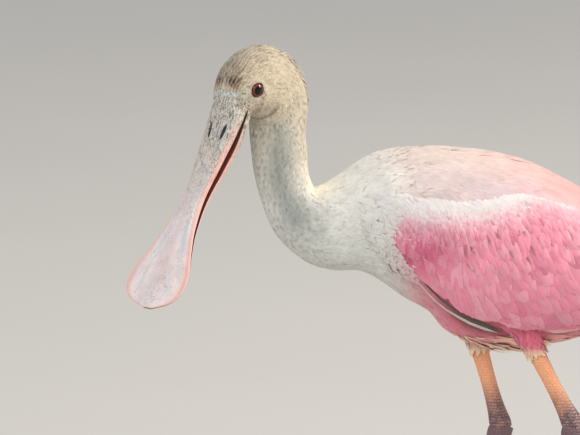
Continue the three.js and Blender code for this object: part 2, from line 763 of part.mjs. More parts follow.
// The whole bird
const spoonbill = new THREE.Group();
function node(name, body, material) {
  const look = new THREE.MeshStandardMaterial({
    color: COLOURS[material],
    metalness: 0,
    ...finish[material],
  });
  const mesh = new THREE.Mesh(shape(body), look);
  mesh.name = name;
  spoonbill.add(mesh);
}

node("head", head(), "plumage");
node("bill_upper", billUpper(), "bill");
node("bill_lower", billHalfSolid(-1), "bill");
node("eye_left", eye(-1), "eye");
node("eye_right", eye(1), "eye");
["neck_upper", "neck_middle", "neck_lower"].forEach((name, i) => {
  const short = i < 2 ? GAP / 60 : 0;
  node(name, neckLength(NECK_CUTS[i], NECK_CUTS[i + 1] - short, 5), "plumage");
});
node("torso", torso(), "back");
node("tail", tail(), "tail");
const clear = join([tailClear(), ...Object.values(LEGS).map((leg) => thigh(leg, 0.4))]);
const wings = {
  coverts: [leftCoverts(), "covert"],
  secondaries: [leftArm(), "flight"],
  primaries: [leftHand(), "hand"],
};
for (const [part, [body, material]] of Object.entries(wings)) {
  const over = join(part === "coverts" ? scapulars(GAP) : [grownTrunk]);
  node(`wing_left_${part}`, body.subtract(clear).subtract(over), material);
  node(`wing_right_${part}`, mirrored(body.subtract(over)).subtract(clear), material);
}
for (const [name, leg] of Object.entries(LEGS)) {
  node(`leg_${name}_thigh`, thigh(leg).subtract(grownTrunk), "plumage");
  node(`leg_${name}_shank`, shank(leg), "skin");
  node(`leg_${name}_tarsus`, tarsus(leg), "shank");
  node(`foot_${name}`, foot(leg), "shank");
  for (const [toeName, row] of Object.entries(TOES))
    node(`claw_${name}_${toeName}`, claw(leg, row), "claw");
}

// The origin is the middle of the box round the bird, on the floor.
const box = new THREE.Box3().setFromObject(spoonbill);
const middle = box.getCenter(V());
spoonbill.position.set(-middle.x, -middle.y, -box.min.z);

export default spoonbill;
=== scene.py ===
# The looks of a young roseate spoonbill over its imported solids: skin, feathers, bill, eyes and legs.
# Shapes are worked out in millimetres, as in the part's source, and moved to the frame in metres.
import math

import bpy
import numpy as np
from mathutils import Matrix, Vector


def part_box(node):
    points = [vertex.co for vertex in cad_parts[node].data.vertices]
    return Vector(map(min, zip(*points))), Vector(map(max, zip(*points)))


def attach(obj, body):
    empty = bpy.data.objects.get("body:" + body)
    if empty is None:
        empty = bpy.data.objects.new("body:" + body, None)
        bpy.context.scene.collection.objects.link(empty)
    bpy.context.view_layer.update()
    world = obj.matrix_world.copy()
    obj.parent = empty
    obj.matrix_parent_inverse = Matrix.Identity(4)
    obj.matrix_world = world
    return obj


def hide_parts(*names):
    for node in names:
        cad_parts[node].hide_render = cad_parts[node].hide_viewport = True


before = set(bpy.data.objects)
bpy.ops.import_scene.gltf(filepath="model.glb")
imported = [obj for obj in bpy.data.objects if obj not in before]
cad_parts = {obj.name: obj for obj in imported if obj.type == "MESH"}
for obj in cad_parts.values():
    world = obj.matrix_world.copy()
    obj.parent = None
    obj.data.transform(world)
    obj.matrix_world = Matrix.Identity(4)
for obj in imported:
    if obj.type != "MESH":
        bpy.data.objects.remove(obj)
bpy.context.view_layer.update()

# Driving sizes, the same as the solids'
GAP = 0.3
BILL_LENGTH = 162.0
TARSUS_LENGTH = 106.0
HIP_HALF = 25.0
EYE_RADIUS = 6.2
SECTION_POWER = 2.2
WIDEST = 0.55
NECK_ROOT = 50.0
RUMP_END = 345.0
DRESS_START = 36.0
WING_TIP = 420.0
FOOT_TOP = 9.0

# The body's surface is read by a length from the bill's base to the rump and an angle round from the back.
HEAD_RUN = 70.0
NECK_RUN = 130.0
TRUNK_START = HEAD_RUN + NECK_RUN
BODY_RUN = TRUNK_START + RUMP_END - NECK_ROOT

SEED = 2180
TURN = 2 * math.pi

# From the source's origin to the frame's
torso_low, torso_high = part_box("torso")
SHIFT = np.array([
    torso_low.x * 1000 - NECK_ROOT - GAP / 2,
    (torso_low.y + torso_high.y) * 500,
    0.0,
])


# Numbers and outlines
def mix(a, b, share):
    return a + (b - a) * share


def smooth(x, low, high):
    """0 below low, 1 above high, and a soft step between"""
    t = np.clip((np.asarray(x, float) - low) / (high - low), 0, 1)
    return t * t * (3 - 2 * t)


def hill(x, middle, width):
    """1 at the middle, falling softly to 0 over about two widths"""
    return np.exp(-(((np.asarray(x, float) - middle) / width) ** 2))


def power(value, exponent):
    return np.sign(value) * np.abs(value) ** exponent


def circle(count):
    """Angles evenly round a circle"""
    return np.arange(count) / count * TURN


def unit(vectors):
    return vectors / np.maximum(np.linalg.norm(vectors, axis=-1, keepdims=True), 1e-9)


def profile(pairs):
    """A smooth line through [x, value] pairs"""
    xs, vs = np.array(pairs, float).T
    ends = np.arange(len(xs))
    before, after = np.maximum(ends - 1, 0), np.minimum(ends + 1, len(xs) - 1)
    slope = (vs[after] - vs[before]) / (xs[after] - xs[before])

    def read(x):
        x = np.asarray(x, float)
        i = np.clip(np.searchsorted(xs, x, side="right") - 1, 0, len(xs) - 2)
        d = xs[i + 1] - xs[i]
        f = np.clip((x - xs[i]) / d, 0, 1)
        f2, f3 = f * f, f * f * f
        start = vs[i] * (2 * f3 - 3 * f2 + 1) + slope[i] * d * (f3 - 2 * f2 + f)
        return start + vs[i + 1] * (3 * f2 - 2 * f3) + slope[i + 1] * d * (f3 - f2)

    return read


def between(rows, t):
    """A smooth line through rows of numbers, read at t from 0 to 1 over the rows"""
    rows = np.asarray(rows, float)
    place = np.clip(t, 0, 1) * (len(rows) - 1)
    i = np.minimum(np.floor(place).astype(int), len(rows) - 2)
    f = (place - i)[..., None]
    a, b, d, e = (rows[np.clip(i + k, 0, len(rows) - 1)] for k in (-1, 0, 1, 2))
    return b + 0.5 * f * (d - a + f * (2 * a - 5 * b + 4 * d - e + f * (3 * (b - d) + e - a)))


def linear(red, green, blue):
    """A colour as seen on a screen, 0 to 255, in the renderer's own scale"""
    c = np.array([red, green, blue]) / 255
    return np.where(c <= 0.04045, c / 12.92, ((c + 0.055) / 1.055) ** 2.4)


def tinted(base, other, share):
    """Mixes a colour into each row of base by its own share."""
    return base + (other - base) * np.asarray(share)[..., None]


# Outlines of the bare trunk, the same as the solids': back, belly and half width at each x
TOP_FRONT = [
    [36, 291], [50, 299.8], [64, 306], [78, 309], [92, 310.2], [106, 310.4], [120, 309.4], [148, 305.5],
]
UNDER_FRONT = [
    [36, 223.5], [50, 223], [60, 218.5], [70, 212], [82, 203.2], [101, 192], [111, 180], [127, 171.5],
    [153, 168], [169, 167], [190, 168.5], [218, 173.5], [261, 180],
]
back_line = profile(TOP_FRONT + [[176, 296], [204, 277.5], [246, 244], [288, 219], [325, 203.5], [345, 197]])
belly_line = profile(UNDER_FRONT + [[303, 184], [345, 187]])
trunk_half = profile([
    [36, 34], [50, 39], [75, 46], [100, 50.2], [130, 53.2], [165, 53.6], [204, 50.8], [246, 42],
    [288, 30], [325, 18], [345, 10],
])
# The same with the folded wings on
top_line = profile(TOP_FRONT + [
    [176, 297], [204, 282.5], [246, 257], [288, 237], [330, 222], [370, 212], [400, 207.5], [420, 206],
])
under_line = profile(UNDER_FRONT + [[303, 184.5], [345, 187.5], [380, 187.5], [420, 187]])
dressed_half = profile([
    [36, 36], [50, 43], [62, 50], [75, 54], [100, 58.5], [130, 61.5], [165, 62], [204, 59.5],
    [246, 52.5], [288, 43], [325, 34], [345, 29], [380, 22], [420, 15],
])

# Head frame: origin at the middle of the bill's base, bill along -X, crown along +Z
HEAD_PLACE = np.array([-46.9, -24.9, 349.1])
HEAD_TURN, HEAD_PITCH, BILL_ROLL = (math.radians(a) for a in (33.4, 60.5, 6))
FACING = np.array([-math.cos(HEAD_TURN), -math.sin(HEAD_TURN), 0])
ACROSS = np.array([FACING[1], -FACING[0], 0])

# Rows of the head, each [back forward, back up, front forward, front up, half width]
HEAD_ROWS = [
    [-64.7, -25.5, -25.7, -25.5, 19], [-67.3, -10, -25, -18, 19], [-65.6, 4, -24, -15, 19.2],
    [-58, 18, -22.5, -13.5, 19.4], [-45.5, 30.4, -20.5, -12.5, 19.6], [-29.5, 36.4, -18, -12, 19.6],
    [-13.5, 34, -15.5, -11.5, 19.2], [-1.2, 26.2, -12.5, -11, 18.2], [6.6, 16, -9, -11.5, 16.4],
    [9.6, 5.4, -4.8, -11.9, 13.8],
]
# Rows of the neck, each [back x, back z, front x, front z, half width, share of the head's turn]
NECK_ROWS = [
    [11.2, 323.6, -28.8, 323.6, 19, 1], [11.6, 311, -27.3, 308, 18.7, 0.8],
    [11.8, 299, -25, 293, 18.6, 0.55], [13.2, 291, -20, 274, 20, 0.3], [17.5, 283.5, -9.5, 249.5, 24, 0.1],
    [25, 285, 11, 230.5, 29, 0], [36, 291, 31, 224, 34, 0], [50, 299.8, 50, 223, 39, 0],
]


def turned(axis, angle):
    c, s = math.cos(angle), math.sin(angle)
    rows = {
        "x": [[1, 0, 0], [0, c, -s], [0, s, c]],
        "y": [[c, 0, s], [0, 1, 0], [-s, 0, c]],
        "z": [[c, -s, 0], [s, c, 0], [0, 0, 1]],
    }
    return np.array(rows[axis])


HEAD_MATRIX = turned("z", HEAD_TURN) @ turned("y", -HEAD_PITCH)
BILL_MATRIX = HEAD_MATRIX @ turned("x", BILL_ROLL)


def from_head(points, matrix=HEAD_MATRIX):
    return np.asarray(points) @ matrix.T + HEAD_PLACE


# Surfaces
def trunk_row(x):
    """The trunk's back, belly, half width across and height of its widest place, all at x"""
    x = np.asarray(x, float)
    zero = np.zeros_like(x)
    numbers = [x, zero, back_line(x), x, zero, belly_line(x), zero, trunk_half(x), zero, zero + WIDEST]
    return np.stack(numbers, -1)


def spine_rows():
    """The same numbers for each row of the head and neck, from the bill's base down, and one of the trunk"""
    rows = []
    up = np.array([0, 0, 1.0])
    for back, back_up, front, front_up, half in reversed(HEAD_ROWS):
        behind = HEAD_PLACE + FACING * back + up * back_up
        ahead = HEAD_PLACE + FACING * front + up * front_up
        rows.append([*behind, *ahead, *(ACROSS * half), 0.5])
    for k, (back, back_z, front, front_z, half, share) in enumerate(NECK_ROWS[1:], 1):
        swing = turned("z", HEAD_TURN * share)
        centre = np.array([(back + front) / 2, 0, 0])
        reach = np.array([(back - front) / 2, 0, 0])
        behind = centre + swing @ reach + up * back_z
        ahead = centre - swing @ reach + up * front_z
        rows.append([*behind, *ahead, *(swing @ [0, half, 0]), mix(0.5, WIDEST, k / 7)])
    return np.array([*rows, trunk_row(NECK_ROOT + 18)])


SPINE = spine_rows()
# The spine's row at each length along it, at an even speed
spine_place = profile([
    [0, 0], [25, 3.2], [50, 6.4], [70, 8.7], [90, 10.5], [120, 12.4], [160, 14.4], [200, 16], [218, 17],
])


def trunk_x(along):
    """The x of a length along the body"""
    return np.asarray(along, float) - TRUNK_START + NECK_ROOT


def body(along, angle):
    """Points on the outline of the head, neck and trunk"""
    along, angle = np.broadcast_arrays(np.asarray(along, float), np.asarray(angle, float))
    x = np.clip(trunk_x(along), NECK_ROOT, RUMP_END)
    rows = np.where((along < TRUNK_START)[..., None], between(SPINE, spine_place(along) / 17), trunk_row(x))
    back, front, across, widest = rows[..., 0:3], rows[..., 3:6], rows[..., 6:9], rows[..., 9:]
    lower = mix(SECTION_POWER, 1.8, smooth(x, 50, 100))
    middle = front + (back - front) * widest
    exponent = 2 / np.where(np.cos(angle) > 0, SECTION_POWER, lower)
    c = power(np.cos(angle), exponent)[..., None]
    s = power(np.sin(angle), exponent)[..., None]
    return middle + np.where(c > 0, back - middle, middle - front) * c + across * s


def height_at(x, angle):
    """The height of an angle on the dressed body"""
    top, under = top_line(x), under_line(x)
    middle = mix(under, top, WIDEST)
    c = power(np.cos(angle), 2 / SECTION_POWER)
    return middle + c * np.where(c > 0, top - middle, middle - under)


def dressed(x, angle):
    """Points on the outline of the trunk with its folded wings on"""
    x, angle = np.broadcast_arrays(np.asarray(x, float), np.asarray(angle, float))
    across = power(np.sin(angle), 2 / SECTION_POWER) * dressed_half(x)
    return np.stack([x, across, height_at(x, angle)], -1)


def angle_at(x, z):
    """The angle of a height on the dressed body"""
    middle = mix(under_line(x), top_line(x), WIDEST)
    reach = np.where(z > middle, top_line(x) - middle, middle - under_line(x))
    return np.arccos(power(np.clip((z - middle) / reach, -1, 1), SECTION_POWER / 2))


# Height of the folded wing's front and lower edge
wing_edge = profile([
    [50, 268], [57, 259], [64, 248], [73, 237.5], [82, 227], [97, 212], [116, 198], [132, 190],
    [150, 183], [170, 179], [200, 179], [240, 185], [280, 193],
])
# Lower edge of the scapulars, which lie over the wing, and the height under which the wing is pink
scapular_edge = profile([
    [40, 262], [60, 274], [80, 278.5], [103, 280], [115, 279.5], [125, 277], [140, 276], [156, 278],
    [165, 271], [178, 264], [190, 258], [215, 248], [240, 239], [265, 231], [300, 220],
    [340, 209], [420, 198],
])
pink_edge = profile([
    [52, 238], [58, 245], [62, 254], [64, 262], [70, 268], [79, 266.5], [105, 266], [123, 266.5],
    [137, 269], [145, 271], [158, 274], [166, 278], [190, 273], [240, 264],
])


def wrapped(angle):
    """An angle brought between minus and plus half a turn"""
    return (np.asarray(angle, float) + math.pi) % TURN - math.pi


def wing_share(along, angle):
    """1 where the folded wing swells the body, 0 off it"""
    x = trunk_x(along)
    low = angle_at(np.clip(x, 50, 280), wing_edge(x))
    share = smooth(x, 38, 62) * (1 - smooth(x, 195, 250))
    return share * (1 - smooth(np.abs(wrapped(angle)), low - 0.14, low + 0.05))


def outline(along, angle):
    """The body with the swell of its folded wings"""
    point = body(along, angle)
    x = np.clip(trunk_x(along), DRESS_START, WING_TIP)
    return mix(point, dressed(x, wrapped(angle)), wing_share(along, angle)[..., None])


def mantle(along, angle):
    """The back and shoulders over the folded wings, out to the rump"""
    x = np.clip(trunk_x(along), DRESS_START, WING_TIP)
    share = smooth(x, 90, 110)[..., None]
    point = mix(outline(along, angle), dressed(x, wrapped(angle)), share)
    fall = smooth(x, 275, 350) * (1 - smooth(np.abs(wrapped(angle)), 0.3, 1.0))
    return point - np.array([0, 0, 15.0]) * fall[..., None]


def tangents(surface, a, b):
    """The surface's two directions and its outward normal, for a millimetre or a radian"""
    da, db = 0.4, 0.01
    along = (surface(a + da, b) - surface(a - da, b)) / (2 * da)
    around = (surface(a, b + db) - surface(a, b - db)) / (2 * db)
    return along, around, unit(np.cross(along, around))


def sunk(surface, a, b, depth):
    """Points that lie under a surface by a depth"""
    _, _, normal = tangents(surface, a, b)
    return surface(a, b) - normal * np.asarray(depth)[..., None]


# Meshes
def new_mesh(name, shape, material, nodes=(), floats=None, bake=None, normals=None):
    """A piece that rides on the bird, from its points and its faces of four corners.

    floats holds its attributes by name and bake its places on the unwrap, each for every point; normals are
    those of the corners.
    """
    points, quads = shape
    mesh = bpy.data.meshes.new(name)
    points = (np.asarray(points).reshape(-1, 3) + SHIFT) / 1000
    quads = np.asarray(quads, np.int32).reshape(-1, 4)
    mesh.vertices.add(len(points))
    mesh.vertices.foreach_set("co", points.astype(np.float32).ravel())
    mesh.loops.add(quads.size)
    mesh.loops.foreach_set("vertex_index", quads.ravel())
    mesh.polygons.add(len(quads))
    mesh.polygons.foreach_set("loop_start", np.arange(0, quads.size, 4, dtype=np.int32))
    mesh.update(calc_edges=True)
    mesh.polygons.foreach_set("use_smooth", np.ones(len(quads), bool))
    if normals is not None:
        mesh.normals_split_custom_set(normals)
    for key, values in (floats or {}).items():
        layer = mesh.attributes.new(key, "FLOAT_VECTOR", "POINT")
        layer.data.foreach_set("vector", np.asarray(values, np.float32).ravel())
    if bake is not None:
        layer = mesh.uv_layers.new(name="OFBake")
        layer.data.foreach_set("uv", np.asarray(bake, np.float32)[quads.ravel()].ravel())
    piece = bpy.data.objects.new(name, mesh)
    bpy.context.scene.collection.objects.link(piece)
    mesh.materials.append(material)
    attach(piece, "root")
    if nodes:
        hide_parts(*nodes)


def grid_quads(rows, columns):
    """Faces of a grid of rows, each of which closes on itself"""
    first = np.arange(rows - 1)[:, None] * columns
    i = np.arange(columns)[None]
    j = (i + 1) % columns
    corners = np.broadcast_arrays(first + i, first + j, first + columns + j, first + columns + i)
    return np.stack(corners, -1).reshape(-1, 4)


def cap_quads(first, size, turn):
    """Faces that close a ring of an even number of points"""
    quads = [[first + i, first + i + 1, first + size - 2 - i, first + size - 1 - i]
             for i in range(size // 2 - 1)]
    return np.array([q[::-1] if turn else q for q in quads])


def tube(rings):
    """Points and faces of a closed body over rings of points"""
    rows, size = rings.shape[:2]
    quads = np.concatenate([
        grid_quads(rows, size),
        cap_quads(0, size, True),
        cap_quads((rows - 1) * size, size, False),
    ])
    return rings.reshape(-1, 3), quads


def joined(parts):
    """One set of points and faces from several"""
    points, quads, first = [], [], 0
    for p, q in parts:
        points.append(p)
        quads.append(q + first)
        first += len(p)
    return np.concatenate(points), np.concatenate(quads)


# Feathers
ROUND = [0.35, 0.75, 0.95, 1, 1, 0.93, 0.72, 0.3]
POINTED = [0.4, 0.85, 1, 1, 0.98, 0.88, 0.62, 0.16]
LONG = [0.3, 0.7, 0.9, 1, 1, 0.98, 0.86, 0.4]


def vane_faces(n, rows, columns):
    """Faces of n closed vanes, and which of them are on the upper side"""
    size = 2 * columns - 2
    # The under faces split along the same diagonals as the upper ones, so neither cuts through the other.
    sheet = grid_quads(rows, size)[:, ::-1]
    beneath = np.tile(np.arange(size) >= columns - 1, rows - 1)
    sheet[beneath] = np.roll(sheet[beneath], -1, axis=1)
    one = np.concatenate([sheet, cap_quads(0, size, False), cap_quads((rows - 1) * size, size, True)])
    quads = one[None] + (np.arange(n) * rows * size)[:, None, None]
    return quads.reshape(-1, 4), np.tile(np.concatenate([~beneath, np.zeros(size - 2, bool)]), n)


def vanes(surface, a, b, length, half, bearing, lift, rng, shape=ROUND, columns=3, rows=6, sink=1.2,
          tilt=0.0, cup=0.12, thick=0.25, sweep=0.35, ragged=0.12, curl=0.0, crown=0.25, rise=2.0,
          droop=0.0):
    """Feathers planted on a surface at (a, b), each a thin closed vane that follows the surface.

    They point along +a, turned by their bearing towards +b. Each rises early from its sunk root, lies nearly
    flat up to its lift, and droops at its tip onto the feathers beneath.
    """
    n = len(a)
    numbers = (np.broadcast_to(np.asarray(v, float), (n,)) for v in (length, half, bearing, lift))
    length, half, bearing, lift = (v[:, None] for v in numbers)
    v = np.linspace(0, 1, rows)[None]
    # The path of each shaft over the surface
    along, around, _ = tangents(surface, a, b)
    scale_a = np.maximum(np.linalg.norm(along, axis=-1), 0.3)[:, None]
    reach = length[:, 0] / scale_a[:, 0]
    ahead, _, _ = tangents(surface, a + reach * np.cos(bearing[:, 0]), b)
    scale_a = (scale_a + np.clip(np.linalg.norm(ahead, axis=-1), 0.3, 9)[:, None]) / 2
    scale_b = np.maximum(np.linalg.norm(around, axis=-1), 1.0)[:, None]
    bend = curl * rng.uniform(-1, 1, (n, 1)) * v
    path_a = a[:, None] + length * v * np.cos(bearing + bend) / scale_a
    path_b = b[:, None] + length * v * np.sin(bearing + bend) / scale_b
    _, _, normal = tangents(surface, path_a, path_b)
    height = lift - (lift + sink) * (1 - v) ** rise - droop * v**6
    centre = surface(path_a, path_b) + normal * height[..., None]
    ahead = unit(np.gradient(centre, axis=1))
    side = unit(np.cross(normal, ahead))
    # The upper face, from one edge to the other at each place along the shaft
    width = half * between(np.array(shape)[:, None], v)[..., 0]
    u = np.linspace(-1, 1, columns)
    reach = width[..., None] * u * (1 + ragged * rng.uniform(-1, 1, (n, rows, columns)) * np.abs(u))
    level = tilt * u * smooth(v, 0, 0.5)[..., None] - cup * width[..., None] * u * u
    forward = sweep * width[..., None] * np.abs(u) * np.sin(v * math.pi)[..., None]
    forward = forward + ragged * width[..., None] * rng.uniform(-1, 1, (n, rows, columns)) * np.abs(u)
    top = (centre[:, :, None] + side[:, :, None] * reach[..., None]
           + normal[:, :, None] * level[..., None] + ahead[:, :, None] * forward[..., None])
    under = top - normal[:, :, None] * (thick * (1 - u * u))[:, None]
    inner = np.arange(columns - 2, 0, -1)
    rings = np.concatenate([top, under[:, :, inner]], 2)
    size = rings.shape[2]
    lean = side[:, :, None] * (crown * u + 0.1 * rng.normal(0, 1, (n, 1, 1)))[..., None]
    shading = unit(normal[:, :, None] + lean + 0.06 * rng.normal(0, 1, (n, 1, 1, 1)) * ahead[:, :, None])
    shading = np.concatenate([shading, shading[:, :, inner]], 2)
    quads, upper = vane_faces(n, rows, columns)
    # Where each point is on its feather and on the surface
    across = np.concatenate([u, u[inner]])
    draw = rng.uniform(0, 1, (n, 1, 1))
    vane = np.stack([np.broadcast_to(row, (n, rows, size)) for row in (across, v[..., None], draw)], -1)
    place_b = path_b[..., None] + width[..., None] * across / scale_b[..., None]
    where = np.stack([np.broadcast_to(path_a[..., None], (n, rows, size)), place_b], -1)
    return {
        "points": rings.reshape(-1, 3), "quads": quads, "normals": shading.reshape(-1, 3), "upper": upper,
        "vane": vane.reshape(-1, 3), "where": where.reshape(-1, 2), "each": rows * size,
    }


PATCH = 0.003  # each feather's patch on the unwrap of its surface


def coat(name, groups, material, nodes=()):
    """One piece from groups of feathers, each with its colours and its roots' places on the unwrap"""
    bake, tints = [], []
    for made, colours, places in groups:
        tints.append(colours if len(colours) == len(made["points"]) else each_point(colours, made))
        offset = (made["vane"][:, :2] * [0.5, 1] - [0, 0.5]) * PATCH
        bake.append(each_point(places, made) + offset)
    sets = [group[0] for group in groups]
    shape = joined([(made["points"], made["quads"]) for made in sets])
    keys = ("vane", "normals", "upper")
    vane, normals, upper = (np.concatenate([made[key] for made in sets]) for key in keys)
    corners = normals[shape[1].ravel()] * np.repeat(upper, 4)[:, None]
    floats = {"vane": vane, "tint": np.concatenate(tints)}
    new_mesh(name, shape, material, nodes, floats, np.concatenate(bake), corners)


def each_point(values, made):
    """Rows of numbers, one for each feather, given to all of its points"""
    return np.repeat(values, made["each"], axis=0)


# Colours of the plumage, as seen on a screen
WHITE = linear(240, 237, 229)
# The fore-neck's own cool white, darkened as painted shade
COOL_WHITE_AND_SHADE = linear(216, 219, 212)
# Painted shade on the side of the neck
NECK_SIDE_SHADE = linear(146, 154, 150)
NECK_STREAK = linear(150, 146, 132)
# Painted light: the warm sunlit cream along the back of the neck
SUNLIT_CREAM = linear(255, 244, 212)
HEAD_WHITE = linear(214, 200, 174)
BROWN = linear(92, 62, 36)
BACK = linear(226, 207, 197)
BACK_DUSK = linear(176, 150, 130)
BACK_PINK = linear(234, 156, 154)
# Painted shade: lilac-grey on the back's side below its lit top
BACK_LILAC_SHADE = linear(202, 186, 196)
BACK_STREAK = linear(232, 138, 132)
WING_PINK = linear(233, 140, 162)
WING_DEEP = linear(206, 92, 126)
WING_MARK = linear(140, 84, 74)
WING_PALE = linear(246, 206, 214)
WING_WHITE = linear(232, 226, 226)
FLANK_PINK = linear(234, 116, 140)
# Painted shadow under the folded wing's lower edge
FLANK_SHADOW = linear(104, 34, 38)
# Partly the cream of the feathers' tips, partly painted light shining through them
BACKLIT_CREAM = linear(255, 228, 190)
FLIGHT_PINK = linear(236, 168, 180)
FLIGHT_DUSK = linear(150, 128, 124)
TAIL_BUFF = linear(242, 205, 188)
SLIVER = linear(206, 200, 192)
# Painted shadow: the dark strip in the gap over the pale quill
GAP_SHADOW = linear(66, 50, 42)
BAND_BLUE = linear(214, 226, 222)
LORE = linear(192, 190, 168)
CHEEK = linear(206, 190, 170)

# How far back the bare skin of the face reaches at each angle from the crown
bare_edge = profile([
    [0, 2.0], [0.5, 2.2], [0.75, 3], [1.06, 6.2], [1.18, 10.6], [1.29, 16], [1.54, 21.7], [1.8, 24.6],
    [2.14, 26.4], [2.52, 29], [3.142, 36],
])


def forehead_patch(along, turn):
    """The dark patch at each side of the forehead"""
    return hill(along, 5.5, 4.8) * hill(turn, 0.47, 0.42)


def strands(along, angle, count, wander):
    """Uneven streaks that run with the feathers, from 0 to 1, with about count in a radian"""
    bend = wander * np.sin(0.21 * along + 3.1 * angle)
    first = np.sin(6.3 * count * angle + 2.2 * np.sin(0.33 * along) + bend)
    second = np.sin(3.9 * count * angle - 1.7 * np.sin(0.47 * along + 1.0) - bend)
    third = np.sin(0.9 * along + 2.0 * np.sin(5.0 * angle))
    return smooth(first + 0.8 * second + 0.7 * third, -0.6, 1.9)


def neck_plumage(along, angle):
    """The colour of the head and neck"""
    colour = tinted(WHITE, HEAD_WHITE, 1 - smooth(along, 40, 150))
    # The front of the neck turns cool white, partly its own colour and partly painted shade
    front = smooth(angle, 0.9, 2.4) * smooth(along, 55, 150)
    colour = tinted(colour, COOL_WHITE_AND_SHADE, 0.9 * front)
    # Painted shade: a dull grey band down the side of the neck
    side_shade = hill(angle, mix(2.15, 1.7, smooth(along, 90, 150)), 0.6)
    side_shade = side_shade * smooth(along, 50, 80) * (1 - smooth(along, 125, 165))
    colour = tinted(colour, NECK_SIDE_SHADE, 0.75 * side_shade)
    mottle = smooth(angle, 0.5, 1.1) * smooth(along, 34, 60) * (1 - smooth(along, 130, 200))
    colour = tinted(colour, NECK_STREAK, 0.62 * mottle * strands(1.6 * along, angle, 4.0, 2.5) ** 1.5)
    # Painted light: warm cream along the back of the head and neck where the sun catches it
    nape = (1 - smooth(angle, 0.3, 1.2)) * smooth(along, 20, 50) * (1 - smooth(along, 130, 185))
    colour = tinted(colour, SUNLIT_CREAM, 0.8 * nape)
    crown = (1 - smooth(angle, 0.7, 1.4)) * smooth(along, 2, 8) * (1 - smooth(along, 26, 55))
    patch = forehead_patch(along, angle)
    streaks = strands(along, angle, 6.5, 1.5)
    colour = tinted(colour, BROWN, (0.13 + 0.4 * streaks) * crown + (0.22 + 0.6 * streaks) * patch)
    # Painted shadow of the crease under the cheek, running back from the gape
    jaw_shadow = hill(along - 12 * (angle - 2.2), 46, 2.6) * smooth(angle, 1.95, 2.3) * (1 - smooth(along, 56, 64))
    return tinted(colour, BROWN, 0.65 * jaw_shadow)


def plumage(along, angle, points):
    """The colour of the skin or a feather at a place on the head, neck or trunk"""
    x, z = points[..., 0], points[..., 2]
    angle = np.abs(wrapped(angle))
    along = np.asarray(along, float)
    colour = neck_plumage(along, angle)
    trunk = smooth(along, TRUNK_START - 5, TRUNK_START + 45)
    upper = 1 - smooth(angle, 0.9, 1.5)
    shoulder = mix(1, smooth(x, 45, 85), smooth(angle, 0.4, 0.9))
    colour = tinted(colour, BACK, trunk * upper * shoulder)
    colour = tinted(colour, BACK_PINK, upper * smooth(x, 110, 280) * trunk)
    # Painted shade: lilac-grey on the back's side below its lit top
    lilac_shade = 0.55 * hill(x, 120, 50) * smooth(angle, 0.35, 0.9) * (1 - smooth(angle, 1.2, 1.6))
    colour = tinted(colour, BACK_LILAC_SHADE, lilac_shade * trunk)
    flank = smooth(angle, 1.5, 2.0) * smooth(x + (z - 200) * 0.5, 66, 108) * trunk
    colour = tinted(colour, FLANK_PINK, 0.95 * flank)
    # Painted shadow on the flank just under the folded wing's lower edge
    shade = hill(z - wing_edge(x), -6.0, 6.0) * smooth(x, 92, 124) * smooth(z, 172, 182) * flank
    colour = tinted(colour, FLANK_SHADOW, 0.96 * shade)
    bare = 1 - smooth(along - bare_edge(angle), -1.0, 0.4)
    face = tinted(BAND_BLUE, LORE, smooth(angle, 0.7, 1.2))
    face = tinted(face, CHEEK, smooth(angle, 1.7, 2.2))
    return tinted(colour, face, bare)


def unwrapped(along, angle):
    """A place on the unwrap of the body"""
    return np.stack([0.02 + 0.96 * along / BODY_RUN, 0.02 + 0.96 * (angle % TURN) / TURN], -1)


